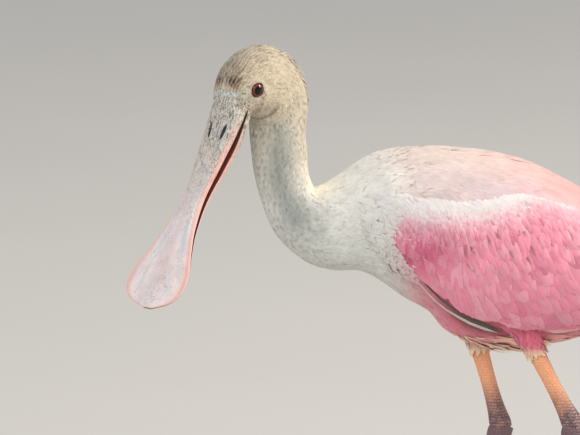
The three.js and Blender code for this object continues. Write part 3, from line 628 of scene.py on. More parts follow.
# Materials
class Material:
    """A procedural material; its methods add nodes and give back their outputs.

    A colour is an output or three numbers from 0 to 255 as seen on a screen.
    """

    def __init__(self, name):
        self.made = bpy.data.materials.new(name)
        self.made.use_nodes = True
        self.tree = self.made.node_tree
        self.shader = self.tree.nodes["Principled BSDF"]

    def add(self, kind, inputs=None, **settings):
        node = self.tree.nodes.new("ShaderNode" + kind)
        for key, value in settings.items():
            setattr(node, key, value)
        for key, value in (inputs or {}).items():
            if isinstance(value, bpy.types.NodeSocket):
                self.tree.links.new(value, node.inputs[key])
            else:
                node.inputs[key].default_value = value
        return node

    def calc(self, operation, *values):
        return self.add("Math", dict(enumerate(values)), operation=operation).outputs[0]

    def product(self, first, *others):
        for other in others:
            first = self.calc("MULTIPLY", first, other)
        return first

    def sum_of(self, value, factor, other):
        """A value times a factor, and the other added"""
        return self.calc("MULTIPLY_ADD", value, factor, other)

    def span(self, value, low, high, to_low=0.0, to_high=1.0):
        """A soft step of a value from low to high"""
        inputs = {0: value, 1: low, 2: high, 3: to_low, 4: to_high}
        return self.add("MapRange", inputs, interpolation_type="SMOOTHSTEP").outputs[0]

    def blend(self, share, a, b, way="MIX"):
        a, b = (rgba(colour) if isinstance(colour, tuple) else colour for colour in (a, b))
        return self.add("Mix", {0: share, 6: a, 7: b}, data_type="RGBA", blend_type=way).outputs[2]

    def layers(self, colour, *rows):
        """A colour with others laid over it in turn, each as (share, colour)"""
        for share, other in rows:
            colour = self.blend(share, colour, other)
        return colour

    def read(self, name):
        """The three numbers of a mesh attribute"""
        numbers = self.add("Attribute", attribute_name=name).outputs["Vector"]
        return self.add("SeparateXYZ", {0: numbers}).outputs

    def shaded_tint(self, shade):
        """The mesh's own tint times a shade"""
        tint = self.add("Attribute", attribute_name="tint").outputs["Color"]
        grey = self.add("CombineColor", {0: shade, 1: shade, 2: shade}).outputs[0]
        return self.blend(1.0, tint, grey, "MULTIPLY")

    def vector(self, x, y, z=0.0):
        return self.add("CombineXYZ", {0: x, 1: y, 2: z}).outputs[0]

    def place(self):
        return self.add("TexCoord").outputs["Object"]

    def stretched(self, upward):
        """The place with its height scaled"""
        return self.add("Mapping", {"Vector": self.place(), "Scale": (1.0, 1.0, upward)}).outputs[0]

    def noise(self, scale, detail=3.0, where=None):
        inputs = {"Vector": where or self.place(), "Scale": scale, "Detail": detail, "Roughness": 0.55}
        return self.add("TexNoise", inputs).outputs[0]

    def cells(self, scale, where):
        """How far a place is from the edge of its cell"""
        node = self.add("TexVoronoi", {"Vector": where, "Scale": scale}, feature="DISTANCE_TO_EDGE")
        return node.outputs[0]

    def finish(self, colour, roughness, relief=None, others=None):
        """Fills in the shader; relief holds a height, its depth in metres and its strength"""
        self.tree.links.new(colour, self.shader.inputs["Base Color"])
        self.shader.inputs["Roughness"].default_value = roughness
        for key, value in (others or {}).items():
            self.shader.inputs[key].default_value = value
        if relief:
            bump = self.add("Bump", dict(zip(("Height", "Distance", "Strength"), relief)))
            self.tree.links.new(bump.outputs[0], self.shader.inputs["Normal"])
        return self.made


def rgba(colour):
    return (*[float(c) for c in linear(*colour)], 1.0)


def feather_material(name, barbs, shaft_shade, edge_shade=1.0):
    """Feathers: their own tint, a shaft, fine barbs slanting to the tip, and a paler or duskier edge"""
    m = Material(name)
    side, place, draw = m.read("vane")
    across = m.calc("ABSOLUTE", side)
    slant = m.calc("SUBTRACT", place, m.product(across, 0.16))
    ripple = m.sum_of(m.noise(420.0, 2.0), 1.6, m.product(slant, barbs))
    wave = m.calc("SINE", m.product(ripple, TURN))
    lines = m.sum_of(wave, 0.035, 0.965)
    shaft = m.span(across, 0.05, 0.14, shaft_shade, 1.0)
    edge = m.span(across, 0.6, 1.0, 1.0, edge_shade)
    blotch = m.span(m.noise(90.0, 4.0), 0.25, 0.75, 0.94, 1.05)
    hair = m.vector(m.product(side, 3.5), m.product(place, 0.8), m.product(draw, 60.0))
    streaks = m.span(m.noise(1.6, 3.0, hair), 0.3, 0.7, 0.94, 1.024)
    shade = m.product(m.product(lines, shaft), m.product(edge, blotch), streaks)
    height = m.sum_of(wave, 0.5, m.product(shaft, -2.0))
    gloss = {"Specular IOR Level": 0.25, "Sheen Weight": 0.3, "Sheen Roughness": 0.5}
    return m.finish(m.shaded_tint(shade), 0.62, (height, 0.00012, 0.6), gloss)


def skin_material():
    """The skin under the coat with its markings; wrinkled, pitted and blotched on the bare face"""
    m = Material("skin_under_coat")
    bare = m.read("place")[0]
    fine = m.noise(900.0, 4.0)
    cracks = m.span(m.cells(760.0, m.stretched(0.6)), 0.0, 0.1, 1.0, 0.0)
    creases = m.product(cracks, m.span(m.noise(210.0), 0.42, 0.6))
    colour = m.layers(
        m.shaded_tint(m.span(fine, 0.3, 0.7, 0.82, 1.0)),
        (m.product(m.span(m.noise(150.0, 4.0), 0.45, 0.66, 0.0, 0.55), bare), (196, 158, 146)),
        (m.product(m.span(m.noise(240.0), 0.5, 0.66, 0.0, 0.6), bare), (150, 146, 118)),
        (m.product(creases, bare, 0.7), (96, 80, 66)),
        (m.product(m.span(m.noise(620.0, 2.0), 0.57, 0.66), bare), (72, 58, 46)),
    )
    height = m.sum_of(creases, -0.9, m.sum_of(m.noise(330.0), 1.2, fine))
    return m.finish(colour, 0.7, (height, 0.0005, 0.8))


# Skin: one closed body from the bill's base to the rump, under the coat
WING_DEPTH = 0.6  # how much deeper it lies under the folded wings


def coat_depth(along, angle):
    """How far the skin lies under the outline of the solids"""
    knots = [0, 6, 30, HEAD_RUN, TRUNK_START, TRUNK_START + 60]
    depth = np.interp(along, knots, [0.3, 0.5, 0.8, 1.0, 1.2, 1.4])
    feathered = smooth(along - bare_edge(np.abs(wrapped(angle))), -1, 2)
    return depth * mix(0.25, 1, feathered) + WING_DEPTH * wing_share(along, angle)


def eye_axis(side):
    axis = np.array([-0.22, side, 0.08])
    return axis / np.linalg.norm(axis)


def eye_place(side):
    return np.array([11.3, side * 13.6, -3.4])


def eye_distance(points, side):
    """How far points lie from the line through an eye"""
    centre, axis = from_head(eye_place(side)), HEAD_MATRIX @ eye_axis(side)
    off = points - centre
    ahead = off @ axis
    return np.linalg.norm(off - ahead[..., None] * axis, axis=-1), ahead


SKIN_AROUND = 144


def skin():
    """The skin's shape and its markings, with a hollow for each eye"""
    along = np.concatenate([
        np.linspace(0, HEAD_RUN, 120, endpoint=False),
        np.linspace(HEAD_RUN, TRUNK_START, 60, endpoint=False),
        np.linspace(TRUNK_START, BODY_RUN, 80),
    ])
    a, b = np.meshgrid(along, circle(SKIN_AROUND), indexing="ij")
    rings = sunk(outline, a, b, coat_depth(a, b))
    for side in (-1, 1):
        distance, ahead = eye_distance(rings, side)
        near = (1 - smooth(distance, 4.0, 6.4)) * (ahead > 0)
        rings = rings - (HEAD_MATRIX @ eye_axis(side)) * (near * 5.0)[..., None]
    colours = plumage(a, b, rings).reshape(-1, 3)
    bare = 1 - smooth(a - bare_edge(np.abs(wrapped(b))), -1, 2)
    return tube(rings), {"tint": colours, "place": np.stack([bare, bare, bare], -1).reshape(-1, 3)}


# Limbs
def limb_rows(rows):
    """Rows of [share of the way, radius, depth share, shift], of which the last two may be left out"""
    return np.array([[*row, *(1, 0)[len(row) - 2:]] for row in rows], float)


def limb_axes(start, end):
    """Directions across a limb and to its fore side"""
    across = np.array([0, 1.0, 0])
    return across, unit(np.cross(across, unit(end - start)))


def limb(start, end, rows, count, steps):
    """Rings of a round limb"""
    share, radius, depth, shift = between(limb_rows(rows), np.linspace(0, 1, steps)).T
    across, fore = limb_axes(start, end)
    angle = circle(count)
    centre = start + np.outer(share, end - start) + np.outer(shift, fore)
    return (centre[:, None] + fore * (np.cos(angle) * (radius * depth)[:, None])[..., None]
            + across * (np.sin(angle) * radius[:, None])[..., None])


LEGS = {
    "left": {"side": -1, "knee": (154.1, 200), "bare": (170, 169.5), "ankle": (201, 110)},
    "right": {"side": 1, "knee": (132, 200), "bare": (142, 165.5), "ankle": (159.6, 104)},
}
for leg in LEGS.values():
    for key in ("knee", "bare", "ankle"):
        leg[key] = np.array([leg[key][0], leg["side"] * HIP_HALF, leg[key][1]])
    drop = leg["ankle"][2] - FOOT_TOP
    back_step = math.sqrt(TARSUS_LENGTH**2 - drop**2)
    leg["foot"] = np.array([leg["ankle"][0] - back_step, leg["ankle"][1], FOOT_TOP])

THIGH_ROWS = [[0, 13, 1.3], [0.45, 12.6, 1.2], [0.75, 11, 1.05], [0.93, 9], [0.995, 7.2]]
SHANK_ROWS = [
    [0.0, 6.7], [0.2, 5.9], [0.45, 5.5], [0.65, 5.8], [0.8, 6.6], [0.92, 7.4, 1.05], [1.0, 7.2, 1.05],
]
TARSUS_ROWS = [
    [-0.03, 6.6, 1.1, -0.6], [0.03, 7.6, 1.15], [0.1, 6.6, 1.1], [0.2, 4.7], [0.45, 4.1], [0.7, 4.1],
    [0.88, 4.8], [0.99, 5.8],
]


def thigh_surface(leg):
    """The thigh's outline by a length from the knee and an angle, and its whole length"""
    start, end = leg["knee"], leg["bare"]
    rows = limb_rows(THIGH_ROWS)
    run = np.linalg.norm(end - start)
    across, fore = limb_axes(start, end)

    def surface(along, angle):
        along, angle = np.broadcast_arrays(np.asarray(along, float), np.asarray(angle, float))
        _, radius, depth, _ = np.moveaxis(between(rows, along / run), -1, 0)
        centre = start + (along / run)[..., None] * (end - start)
        ring = (fore * (np.cos(angle) * radius * depth)[..., None]
                - across * (np.sin(angle) * radius)[..., None])
        return centre + ring

    return surface, run


# The coat of the head, neck and trunk
def body_length(along):
    """Length of the small body feathers"""
    knots = [0, 10, 40, HEAD_RUN, HEAD_RUN + 60, TRUNK_START, TRUNK_START + 60, TRUNK_START + 120]
    return np.interp(along, knots, [2.4, 3.2, 5.0, 7.0, 8.5, 11.0, 16.0, 20.0])


def slimness(along):
    """Half width of a body feather as a share of its length"""
    return np.interp(along, [0, HEAD_RUN, TRUNK_START, TRUNK_START + 80], [0.13, 0.12, 0.15, 0.22])


def spread(surface, stretch, gaps, rng, reach=math.pi):
    """Staggered places over a surface, evenly apart, out to an angle on each side.

    gaps gives the room along and around at a length along the surface.
    """
    places = []
    along, stop = stretch
    row = 0
    while along < stop:
        angle = np.linspace(-reach, reach, 121)
        forward, around, _ = tangents(surface, np.full(121, along), angle)
        arc = np.concatenate([[0], np.cumsum(np.linalg.norm(around, axis=-1))[:-1]]) * (angle[1] - angle[0])
        speed = np.linalg.norm(forward, axis=-1)
        step, gap = gaps(along)
        step = step / speed.max()
        count = max(int(arc[-1] / gap), 3)
        at = (np.arange(count) + 0.5 * (row % 2) + 0.25) / count * arc[-1]
        at = at + rng.uniform(-0.35, 0.35, count) * gap
        jitter = rng.uniform(-0.5, 0.5, count) * step
        kept = rng.uniform(0, 1, count) < np.interp(at, arc, speed) / speed.max()
        places.append(np.stack([along + jitter, np.interp(at, arc, angle)], -1)[kept])
        along += step
        row += 1
    return np.concatenate(places)


def feathered(places, rng):
    """Places that aren't on the bare face, deep under the wing's pink coverts or under the scapulars"""
    along, angle = places.T
    turn = np.abs(wrapped(angle))
    keep = along > bare_edge(turn) + rng.uniform(-1.2, 1.6, len(along))
    x = trunk_x(along)
    z = height_at(np.clip(x, 40, 340), turn)
    under_wing = (z < scapular_edge(x) + 3) & (z > wing_edge(x) + 7) & (x > 60) & (x < 260)
    under_back = (z > scapular_edge(x) + 2) & (x > rng.uniform(60, 76, len(x)))
    return places[keep & ~under_wing & ~under_back & ((x < 260) | (turn > 1.2))]


def root_surface(along, angle):
    """Where the small feathers grow from: the skin, or the folded wing's own"""
    return sunk(outline, along, angle, coat_depth(along, angle) - WING_DEPTH * wing_share(along, angle))


BODY_PIECES = [
    ("coat_crown", 0, 26), ("coat_head", 26, HEAD_RUN), ("coat_neck_upper", HEAD_RUN, 112),
    ("coat_neck_middle", 112, 150), ("coat_neck_lower", 150, 186), ("coat_breast", 186, 240),
    ("coat_belly", 240, BODY_RUN),
]


def ripples(along, angle):
    """A slow change from place to place, from -1 to 1"""
    first = np.sin(0.31 * along + 2.1 * np.sin(angle + 0.4)) * np.cos(2.3 * angle - 0.11 * along)
    second = np.sin(0.83 * along - 3.7 * angle) * np.cos(0.47 * along + 1.9 * angle)
    return 0.6 * first + 0.4 * second


def body_gaps(along):
    """Room along and around for the small feathers, closer from the neck back"""
    length = body_length(along) * mix(1, 0.76, smooth(along, 62, 100))
    return 0.3 * length, 1.3 * length * slimness(along)


def body_tints(made, along, angle, fringe, rng):
    """The plumage's colours, with dark streaks on the face and cream tips at the belly's edge, partly
    painted light shining through them
    """
    n = len(along)
    turn = np.abs(wrapped(angle))
    colours = plumage(*made["where"].T, made["points"])
    near = 1 - smooth(along, 16, 60)
    patch = forehead_patch(along, turn)
    dark = 0.3 * near * (1 - smooth(turn, 1.2, 2.2)) + 0.7 * patch
    streak = (rng.uniform(0, 1, n) < dark) * rng.uniform(0.1, 0.45, n) * (1 + patch)
    colours = tinted(colours, BROWN, each_point(streak, made))
    # The fringe's tips: cream, partly painted light shining through them
    colours = tinted(colours, BACKLIT_CREAM, each_point(fringe, made) * smooth(made["vane"][:, 1], 0, 0.7))
    shade = 1 + (0.07 + 0.05 * near) * rng.uniform(-1.2, 0.8, n)
    # Painted light and shade of soft lumps in the neck's plumage
    shade = shade * (1 + 0.08 * (1 - smooth(along, 150, 220)) * ripples(along, angle))
    return colours * each_point(shade[:, None], made)


def body_feathers(along, angle, rng):
    """Small feathers of the head, neck and trunk, raised at the nape, the crown and the belly's edge"""
    n = len(along)
    turn = np.abs(wrapped(angle))
    length = body_length(along) * rng.uniform(0.8, 1.25, n) * mix(1, 0.75, wing_share(along, angle))
    half = length * slimness(along) * rng.uniform(0.85, 1.15, n)
    near_bare = smooth(along - bare_edge(turn), -1, 7)
    lift = coat_depth(along, angle) * mix(0.35, 1, near_bare) + rng.uniform(-0.1, 0.0, n)
    bearing = rng.normal(0, 0.1, n)
    nape = hill(along, 46, 13) * (1 - smooth(turn, 0.4, 0.8)) * (rng.uniform(0, 1, n) < 0.3)
    crown = hill(along, 14, 8) * (1 - smooth(turn, 0.3, 0.8)) * (rng.uniform(0, 1, n) < 0.2)
    x, _, z = root_surface(along, angle).T
    fringe = (1 - smooth(z + rng.uniform(-3, 3, n), 171, 178)) * hill(x, 136, 34)
    lift = lift + nape * rng.uniform(0.5, 5.0, n) + crown * rng.uniform(0.2, 0.9, n)
    lift = lift + fringe * (1 - smooth(z, 172, 180)) * rng.uniform(1.0, 8.0, n)
    length = length * (1 + 0.4 * fringe + 0.8 * nape)
    made = vanes(root_surface, along, angle, length, half, bearing, lift, rng, POINTED, 3, 5, sink=0.4,
                 thick=0.12, ragged=0.12, curl=0.35, crown=0.15, cup=0.24, rise=2.4, droop=0.2)
    return made, body_tints(made, along, angle, fringe, rng), unwrapped(along, angle)


def body_coat():
    rng = np.random.default_rng(SEED + 1)
    places = feathered(spread(root_surface, (1.0, BODY_RUN - 3), body_gaps, rng), rng)
    for name, first, last in BODY_PIECES:
        along, angle = places[(places[:, 0] >= first) & (places[:, 0] < last)].T
        groups = [body_feathers(along, angle, rng)]
        if name == "coat_belly":
            groups.append(belly_fringe())
        coat(name, groups, FEATHER_FINE)


def belly_fringe():
    """Longer cream feathers that hang in ragged points under the belly, their cream partly painted light
    shining through them
    """
    rng = np.random.default_rng(SEED + 3)
    n = 110
    along = TRUNK_START - NECK_ROOT + rng.uniform(112, 158, n)
    angle = rng.uniform(2.86, TURN - 2.86, n)
    length = rng.uniform(9, 15, n)
    bearing = rng.normal(0, 0.15, n)
    lift = rng.uniform(1.0, 4.0, n)
    made = vanes(root_surface, along, angle, length, length * 0.1, bearing, lift, rng, POINTED, 3, 6,
                 sink=0.4, thick=0.12, cup=0.1, curl=0.4, rise=1.0)
    # The tips: cream, partly painted light shining through them
    colours = tinted(FLANK_PINK, BACKLIT_CREAM, smooth(made["vane"][:, 1], 0.1, 0.6))
    return made, colours * each_point(rng.uniform(0.92, 1.02, (n, 1)), made), unwrapped(along, angle)


# The back and the scapulars, in one field of feathers that grow longer towards the rump
back_length = profile([[40, 12], [80, 19], [110, 28], [150, 44], [190, 58], [240, 62], [290, 66]])


def back_gaps(along):
    length = back_length(trunk_x(along))
    return 0.16 * length, 0.19 * length


def under_mantle(along, angle):
    return sunk(mantle, along, angle, 1.6)


def back_tints(made, rng):
    """White at the shoulders, a lilac painted shade lower down and pinker to the rear, each feather a little
    its own
    """
    at = trunk_x(made["where"][:, 0])
    turn = np.abs(made["where"][:, 1])
    across, place, _ = made["vane"].T
    own = each_point(rng.uniform(0, 1, (len(at) // made["each"], 3)), made)
    colours = tinted(BACK, WHITE, (1 - smooth(at, 50, 95)) * smooth(turn, 0.4, 0.9))
    colours = tinted(colours, BACK_PINK, smooth(at, 95, 240) * 0.95)
    colours = tinted(colours, WING_PALE, 0.6 * smooth(turn, 0.7, 1.1) * smooth(at, 110, 170))
    mottle = (own[:, 0] < 0.35) * (1 - smooth(at, 110, 150)) * hill(place, 0.9, 0.25)
    colours = tinted(colours, BACK_DUSK, 0.22 * mottle * own[:, 1])
    # Painted shade: lilac-grey on the back's side below its lit top
    lilac_shade = 0.75 * smooth(turn, 0.35, 0.9) * hill(at, 130, 60) * mix(0.5, 1, own[:, 2])
    colours = tinted(colours, BACK_LILAC_SHADE, lilac_shade)
    streak = (own[:, 0] < 0.5 * smooth(at, 130, 200)) * (0.15 + 0.4 * own[:, 1])
    colours = tinted(colours, BACK_STREAK, streak * hill(across, 0.7, 0.35))
    return colours * (0.97 + 0.05 * own[:, 2:])


def back_coat():
    rng = np.random.default_rng(SEED + 2)
    places = spread(mantle, (TRUNK_START - 6, TRUNK_START + 238), back_gaps, rng, 1.6)
    along, angle = places.T
    x = trunk_x(along)
    length = back_length(x) * rng.uniform(0.85, 1.15, len(x))
    tip_x = x + length
    keep = np.abs(angle) < angle_at(tip_x, scapular_edge(tip_x)) - 0.04 * rng.uniform(0, 1, len(x))
    bearing = 0.22 * np.sin(angle) * smooth(x, 60, 120)
    along, angle, x, length, bearing = (v[keep] for v in (along, angle, x, length, bearing))
    n = len(along)
    half = length * np.interp(x, [60, 200], [0.16, 0.12]) * rng.uniform(0.85, 1.15, n)
    lift = rng.uniform(1.3, 1.5, n)
    made = vanes(under_mantle, along, angle, length, half, bearing, lift, rng, ROUND, 5, 9, sink=0.9,
                 thick=0.12, ragged=0.12, curl=0.25, cup=0.08, crown=0.1, droop=0.25)
    groups = [(made, back_tints(made, rng), unwrapped(along, angle))]
    coat("coat_back", groups, FEATHER_WING)


# Wings
def wing_surface(inset):
    """The dressed body's surface, inset"""
    return lambda x, angle: sunk(dressed, x, angle, inset)


def laid(side, inset, froms, tos, half, lift, rng, shape=ROUND, tilt=0.0, **options):
    """Feathers on the dressed body from each [x, z] to another, with the lower edge tilted out"""
    surface = wing_surface(inset)
    start = side * angle_at(froms[:, 0], froms[:, 1])
    end = side * angle_at(tos[:, 0], tos[:, 1])
    length = np.linalg.norm(surface(tos[:, 0], end) - surface(froms[:, 0], start), axis=-1)
    along, around, _ = tangents(surface, froms[:, 0], start)
    across = (end - start) * np.linalg.norm(around, axis=-1)
    run = (tos[:, 0] - froms[:, 0]) * np.linalg.norm(along, axis=-1)
    return vanes(surface, froms[:, 0], start, length, half, np.arctan2(across, run), lift, rng, shape,
                 tilt=side * tilt, **options)


def wing_unwrap(side, places):
    """Each [x, z] on the unwrap of the wings"""
    angle = angle_at(places[:, 0], places[:, 1])
    half = 0.02 + 0.46 * angle / math.pi + (0.5 if side > 0 else 0)
    return np.stack([0.02 + 0.96 * (places[:, 0] - DRESS_START) / (WING_TIP - DRESS_START), half], -1)


# Lines that the coverts' tips follow, from the shoulder down, each from front to rear as [x, z]
COVERT_LINES = np.array([
    [[58, 275], [86, 276], [122, 273], [160, 277], [186, 266]],
    [[62, 264], [88, 265], [121, 265], [162, 272], [202, 263]],
    [[66, 253], [91, 252], [126, 251], [171, 255], [220, 249]],
    [[71, 243], [98, 237], [134, 233], [182, 236], [238, 234]],
    [[82, 230], [109, 214], [145, 208], [193, 211], [258, 219]],
    [[93, 217], [122, 197], [156, 182], [204, 180], [280, 202]],
], float)
COVERT_SLOPES = [[36, 22], [60, 38], [70, 46], [68, 47], [62, 45], [52, 36]]


def covert_field(rng):
    """Roots, tips, half widths and rank of the coverts of one wing, as rows of numbers"""
    found = []
    down = 0.0
    while down <= 1.0:
        line_now = between(COVERT_LINES.reshape(6, -1), np.array(down)).reshape(5, 2)
        front, rear = between(COVERT_SLOPES, np.array(down))
        length = mix(11.0, 46.0, down**1.5)
        width = mix(1.7, 6.4, down**1.5)
        run = np.linalg.norm(np.diff(line_now, axis=0), axis=1).sum()
        count = int(run / (width * mix(0.9, 1.15, down)))
        share = (np.arange(count) + rng.uniform(0.1, 0.9, count)) / count
        tip = between(line_now, share) + rng.uniform(-1.3, 1.3, (count, 2))
        slope = np.radians(mix(front, rear, smooth(share, -0.1, 1.0)) + rng.normal(0, 3, count))
        size = length * rng.uniform(0.9, 1.12, count)
        root = tip - np.stack([np.cos(slope), -np.sin(slope)], -1) * size[:, None]
        half = width * rng.uniform(0.85, 1.15, count)
        found.append(np.column_stack([root, tip, half, np.full(count, down)]))
        down += mix(0.16, 0.2, down) * length / 115
    found = np.concatenate(found)
    return found[:, 0:2], found[:, 2:4], found[:, 4], found[:, 5]


def wing_tint(made, rng):
    """The wing's pink, white at the shoulder's upper edge, over the points of its coverts"""
    x, angle = made["where"].T
    z = height_at(x, angle)
    across, place, _ = made["vane"].T
    n = len(x) // made["each"]
    own = each_point(rng.uniform(0, 1, (n, 4)), made)
    colour = tinted(WING_PINK, WING_DEEP, 0.95 * hill(x - 0.6 * (z - 240), 80, 24) * hill(z, 242, 24))
    colour = tinted(colour, WING_DEEP, 0.35 * (1 - smooth(z, 178, 215)))
    colour = tinted(colour, WING_DEEP, (own[:, 0] < 0.2) * own[:, 1] * 0.5)
    pale = 0.3 * own[:, 2] ** 2 + 0.3 * smooth(x, 160, 230) * smooth(z, 200, 260)
    colour = tinted(colour, WING_PALE, pale)
    pale = smooth(z - pink_edge(x) + 7 * (own[:, 0] - 0.5), -20.0, 3.0)
    colour = tinted(colour, WING_PALE, 0.6 * pale)
    upper = smooth(z - pink_edge(x) + 7 * (own[:, 1] - 0.5), -7.0, 6.0)
    colour = tinted(colour, WING_WHITE, upper)
    knot = hill(np.hypot(x - 157, z - 273), 0, 3.0) * (own[:, 2] < 0.6)
    colour = tinted(colour, WING_MARK, 0.7 * knot)
    mark = (own[:, 3] < 0.14) * smooth(z, 222, 234) * (1 - smooth(z, 254, 264))
    mark = mark * hill(across, 0, 0.5) * hill(place, 0.84, 0.12)
    return tinted(colour, WING_MARK, 0.75 * mark) * (0.96 + 0.07 * own[:, :1])


def underlay(side):
    """The folded wing's own skin under its coverts"""
    x, share = np.meshgrid(np.linspace(64, 262, 100), np.linspace(0, 1, 48), indexing="ij")
    low = angle_at(x, wing_edge(x) + 4)
    high = angle_at(x, np.minimum(scapular_edge(x) + 9, top_line(x) - 1))
    angle = side * mix(low, high, share)
    outer = wing_surface(2.0)(x, angle)
    inner = wing_surface(3.2)(x, angle)[:, ::-1]
    points, quads = tube(np.concatenate([outer, inner], 1))
    white = smooth(points[:, 2] - pink_edge(points[:, 0]), -7, 6)
    return (points, quads if side > 0 else quads[:, ::-1]), {"tint": tinted(WING_PINK, WING_WHITE, white)}


def line(first, last, count):
    return np.linspace(np.array(first, float), np.array(last, float), count)


def strip(side, path, inset, half, rng, **options):
    """One long narrow feather along a curved path of [x, z] on the dressed body"""
    path = np.array(path, float)
    run = np.linalg.norm(np.diff(path, axis=0), axis=1).sum()
    base = wing_surface(inset)

    def surface(a, b):
        place = between(path, np.asarray(a) / run)
        return base(place[..., 0], side * angle_at(place[..., 0], place[..., 1]) + np.asarray(b) / 55)

    return vanes(surface, np.zeros(1), np.zeros(1), run, half, 0.0, 0.0, rng, **options)


def coverts(side, rng):
    """The small coverts with few points and the large ones with more"""
    roots, tips, halves, down = covert_field(rng)
    lift = 1.0 + mix(0.2, 0.6, down) * rng.uniform(0.5, 1.0, len(down))
    groups = []
    for rank, columns, rows in ((down < 0.5, 3, 7), (down >= 0.5, 5, 11)):
        made = laid(side, 1.0, roots[rank], tips[rank], halves[rank], lift[rank], rng, columns=columns,
                    rows=rows, tilt=-0.14, thick=0.18, sweep=0.6, ragged=0.08, sink=1.0, cup=0.03,
                    crown=0.22, rise=1.7)
        groups.append((made, wing_tint(made, rng), wing_unwrap(side, roots[rank])))
    return groups


# Roots and tips of the breast's white feathers that lie over the folded wing's front edge,
# and the step from one row of them to the next
BIB_ROOTS = [[50, 275], [53, 262], [56, 250], [62, 239], [72, 229], [78, 219]]
BIB_TIPS = [[66, 269], [65, 257], [66, 247], [72, 237], [81, 227], [86, 217]]
BIB_ROWS = 7
BIB_EACH = 34
BIB_STEP = np.array([2.3, -0.8])


def bib(side, rng):
    groups = []
    for row in range(BIB_ROWS):
        share = (np.arange(BIB_EACH) + 0.5 * (row % 2) + rng.uniform(0, 0.4, BIB_EACH)) / (BIB_EACH + 1)
        roots = between(BIB_ROOTS, share) - row * BIB_STEP
        tips = between(BIB_TIPS, share) - row * BIB_STEP + rng.normal(0, 1.5, (BIB_EACH, 2))
        half = rng.uniform(1.2, 1.8, BIB_EACH)
        made = laid(side, 1.0, roots, tips, half, rng.uniform(1.6, 1.9, BIB_EACH), rng, columns=3, rows=7,
                    thick=0.15, sweep=0.4, sink=3.4, crown=0.15, curl=0.2)
        x, angle = made["where"].T
        tints = plumage(x + TRUNK_START - NECK_ROOT, angle, dressed(x, angle))
        own = each_point(rng.uniform(0.94, 1.02, (BIB_EACH, 1)), made)
        colours = tinted(tints, WING_PALE, 0.25 * smooth(x, 56, 74)) * own
        groups.append((made, colours, wing_unwrap(side, roots)))
    return groups


def secondaries(side):
    """The secondaries and, further in, the tertials"""
    groups = []
    for roots, tips, half, inset, lift in (
        (line((146, 206), (216, 222), 14), line((204, 178), (346, 202), 14), 9.5, 5.0, 1.6),
        (line((206, 236), (200, 258), 5), line((352, 211), (318, 224), 5), 13.0, 3.4, 2.6),
    ):
        rng = np.random.default_rng(SEED + 60)
        made = laid(side, inset, roots, tips, half, lift, rng, shape=LONG, columns=7, rows=16, tilt=-0.5,
                    thick=0.4, sweep=0.7, ragged=0.05, sink=1.0, cup=0.04, crown=0.2)
        colours = tinted(FLIGHT_PINK, WING_PALE, rng.uniform(0, 0.5, len(roots)))
        groups.append((made, colours, wing_unwrap(side, roots)))
    return groups


# Paths under the wing's front edge: the pale quill that shows there and, over it, a dark strip of painted
# shadow in the gap
QUILL_PATH = [(84.5, 218), (93, 209), (103, 200), (114, 193), (126, 186.8), (142, 181.4)]
GAP_PATH = [(86.5, 220), (95.5, 211), (105.5, 202), (116, 195.2), (128, 189), (143, 183.5)]


def slivers(side, rng):
    groups = []
    # The second strip is painted shadow in the gap over the quill
    for path, inset, half, colour, place in (
        (QUILL_PATH, -0.7, 1.7, SLIVER, [0.1, 0.3]), (GAP_PATH, -0.5, 2.2, GAP_SHADOW, [0.12, 0.32]),
    ):
        made = strip(side, path, inset, half, rng, shape=LONG, columns=5, rows=24, sink=0.2,
                     ragged=0.04, cup=0.03)
        groups.append((made, colour[None], np.array([place])))
    return groups


def primaries(side):
    rng = np.random.default_rng(SEED + 70)
    roots, tips = line((215, 193), (222, 202), 7), line((418, 195), (338, 204), 7)
    made = laid(side, 7.6, roots, tips, 8.8, 0.5, rng, shape=LONG, columns=7, rows=18, tilt=-0.4, thick=0.4,
                sweep=0.7, ragged=0.05, sink=0.6, cup=0.04, crown=0.2)
    colours = tinted(FLIGHT_PINK, FLIGHT_DUSK, 0.42 + 0.1 * rng.uniform(-1, 1, 7))
    return [(made, colours, wing_unwrap(side, roots))]


def wing(side, name):
    rng = np.random.default_rng(SEED + 50)
    groups = coverts(side, rng) + bib(side, rng)
    coat(f"coat_wing_{name}_coverts", groups, FEATHER_WING, [f"wing_{name}_coverts"])
    shape, floats = underlay(side)
    new_mesh(f"wing_{name}_skin", shape, SKIN, floats=floats)
    groups = secondaries(side) + slivers(side, rng)
    coat(f"coat_wing_{name}_secondaries", groups, FEATHER_LONG, [f"wing_{name}_secondaries"])
    coat(f"coat_wing_{name}_primaries", primaries(side), FEATHER_LONG, [f"wing_{name}_primaries"])


# Tail
TAIL_START = 350.0
TAIL_PAIRS = 6


def tail_face(x, y):
    """The tail's upper face: x back from the rump, y across"""
    x, y = np.broadcast_arrays(np.asarray(x, float), np.asarray(y, float))
    z = mix(190.8, 187.8, (x - 356) / 73) - 0.1 * np.abs(y) - 0.02 * np.abs(y) * (x - 356) / 10
    return np.stack([x, y, z], -1)


def tail_cover(x, y):
    """Where the short feathers over the tail's base lie"""
    x, y = np.broadcast_arrays(np.asarray(x, float), np.asarray(y, float))
    return np.stack([x, y, mix(200.0, 191.2, smooth(x, 330, 400)) - 0.012 * y * y], -1)


def tail_covert_row(row, rng):
    n = 7 + row % 2
    y = np.linspace(-7.5, 7.5, n) + rng.uniform(-0.6, 0.6, n)
    x = np.full(n, 352.0 - 5 * row)
    made = vanes(tail_cover, x, y, rng.uniform(30, 36, n), 3.4, 0.012 * y, 0.6 + 0.1 * row, rng, ROUND, 5, 9,
                 sink=1.5, thick=0.2, cup=0.08, curl=0.15, droop=0.3)
    tints = tinted(BACK_PINK, WING_PALE, rng.uniform(0.1, 0.5, n))
    return made, tints, np.column_stack([np.full(n, 0.1 + 0.05 * row), 0.5 + y / 40])


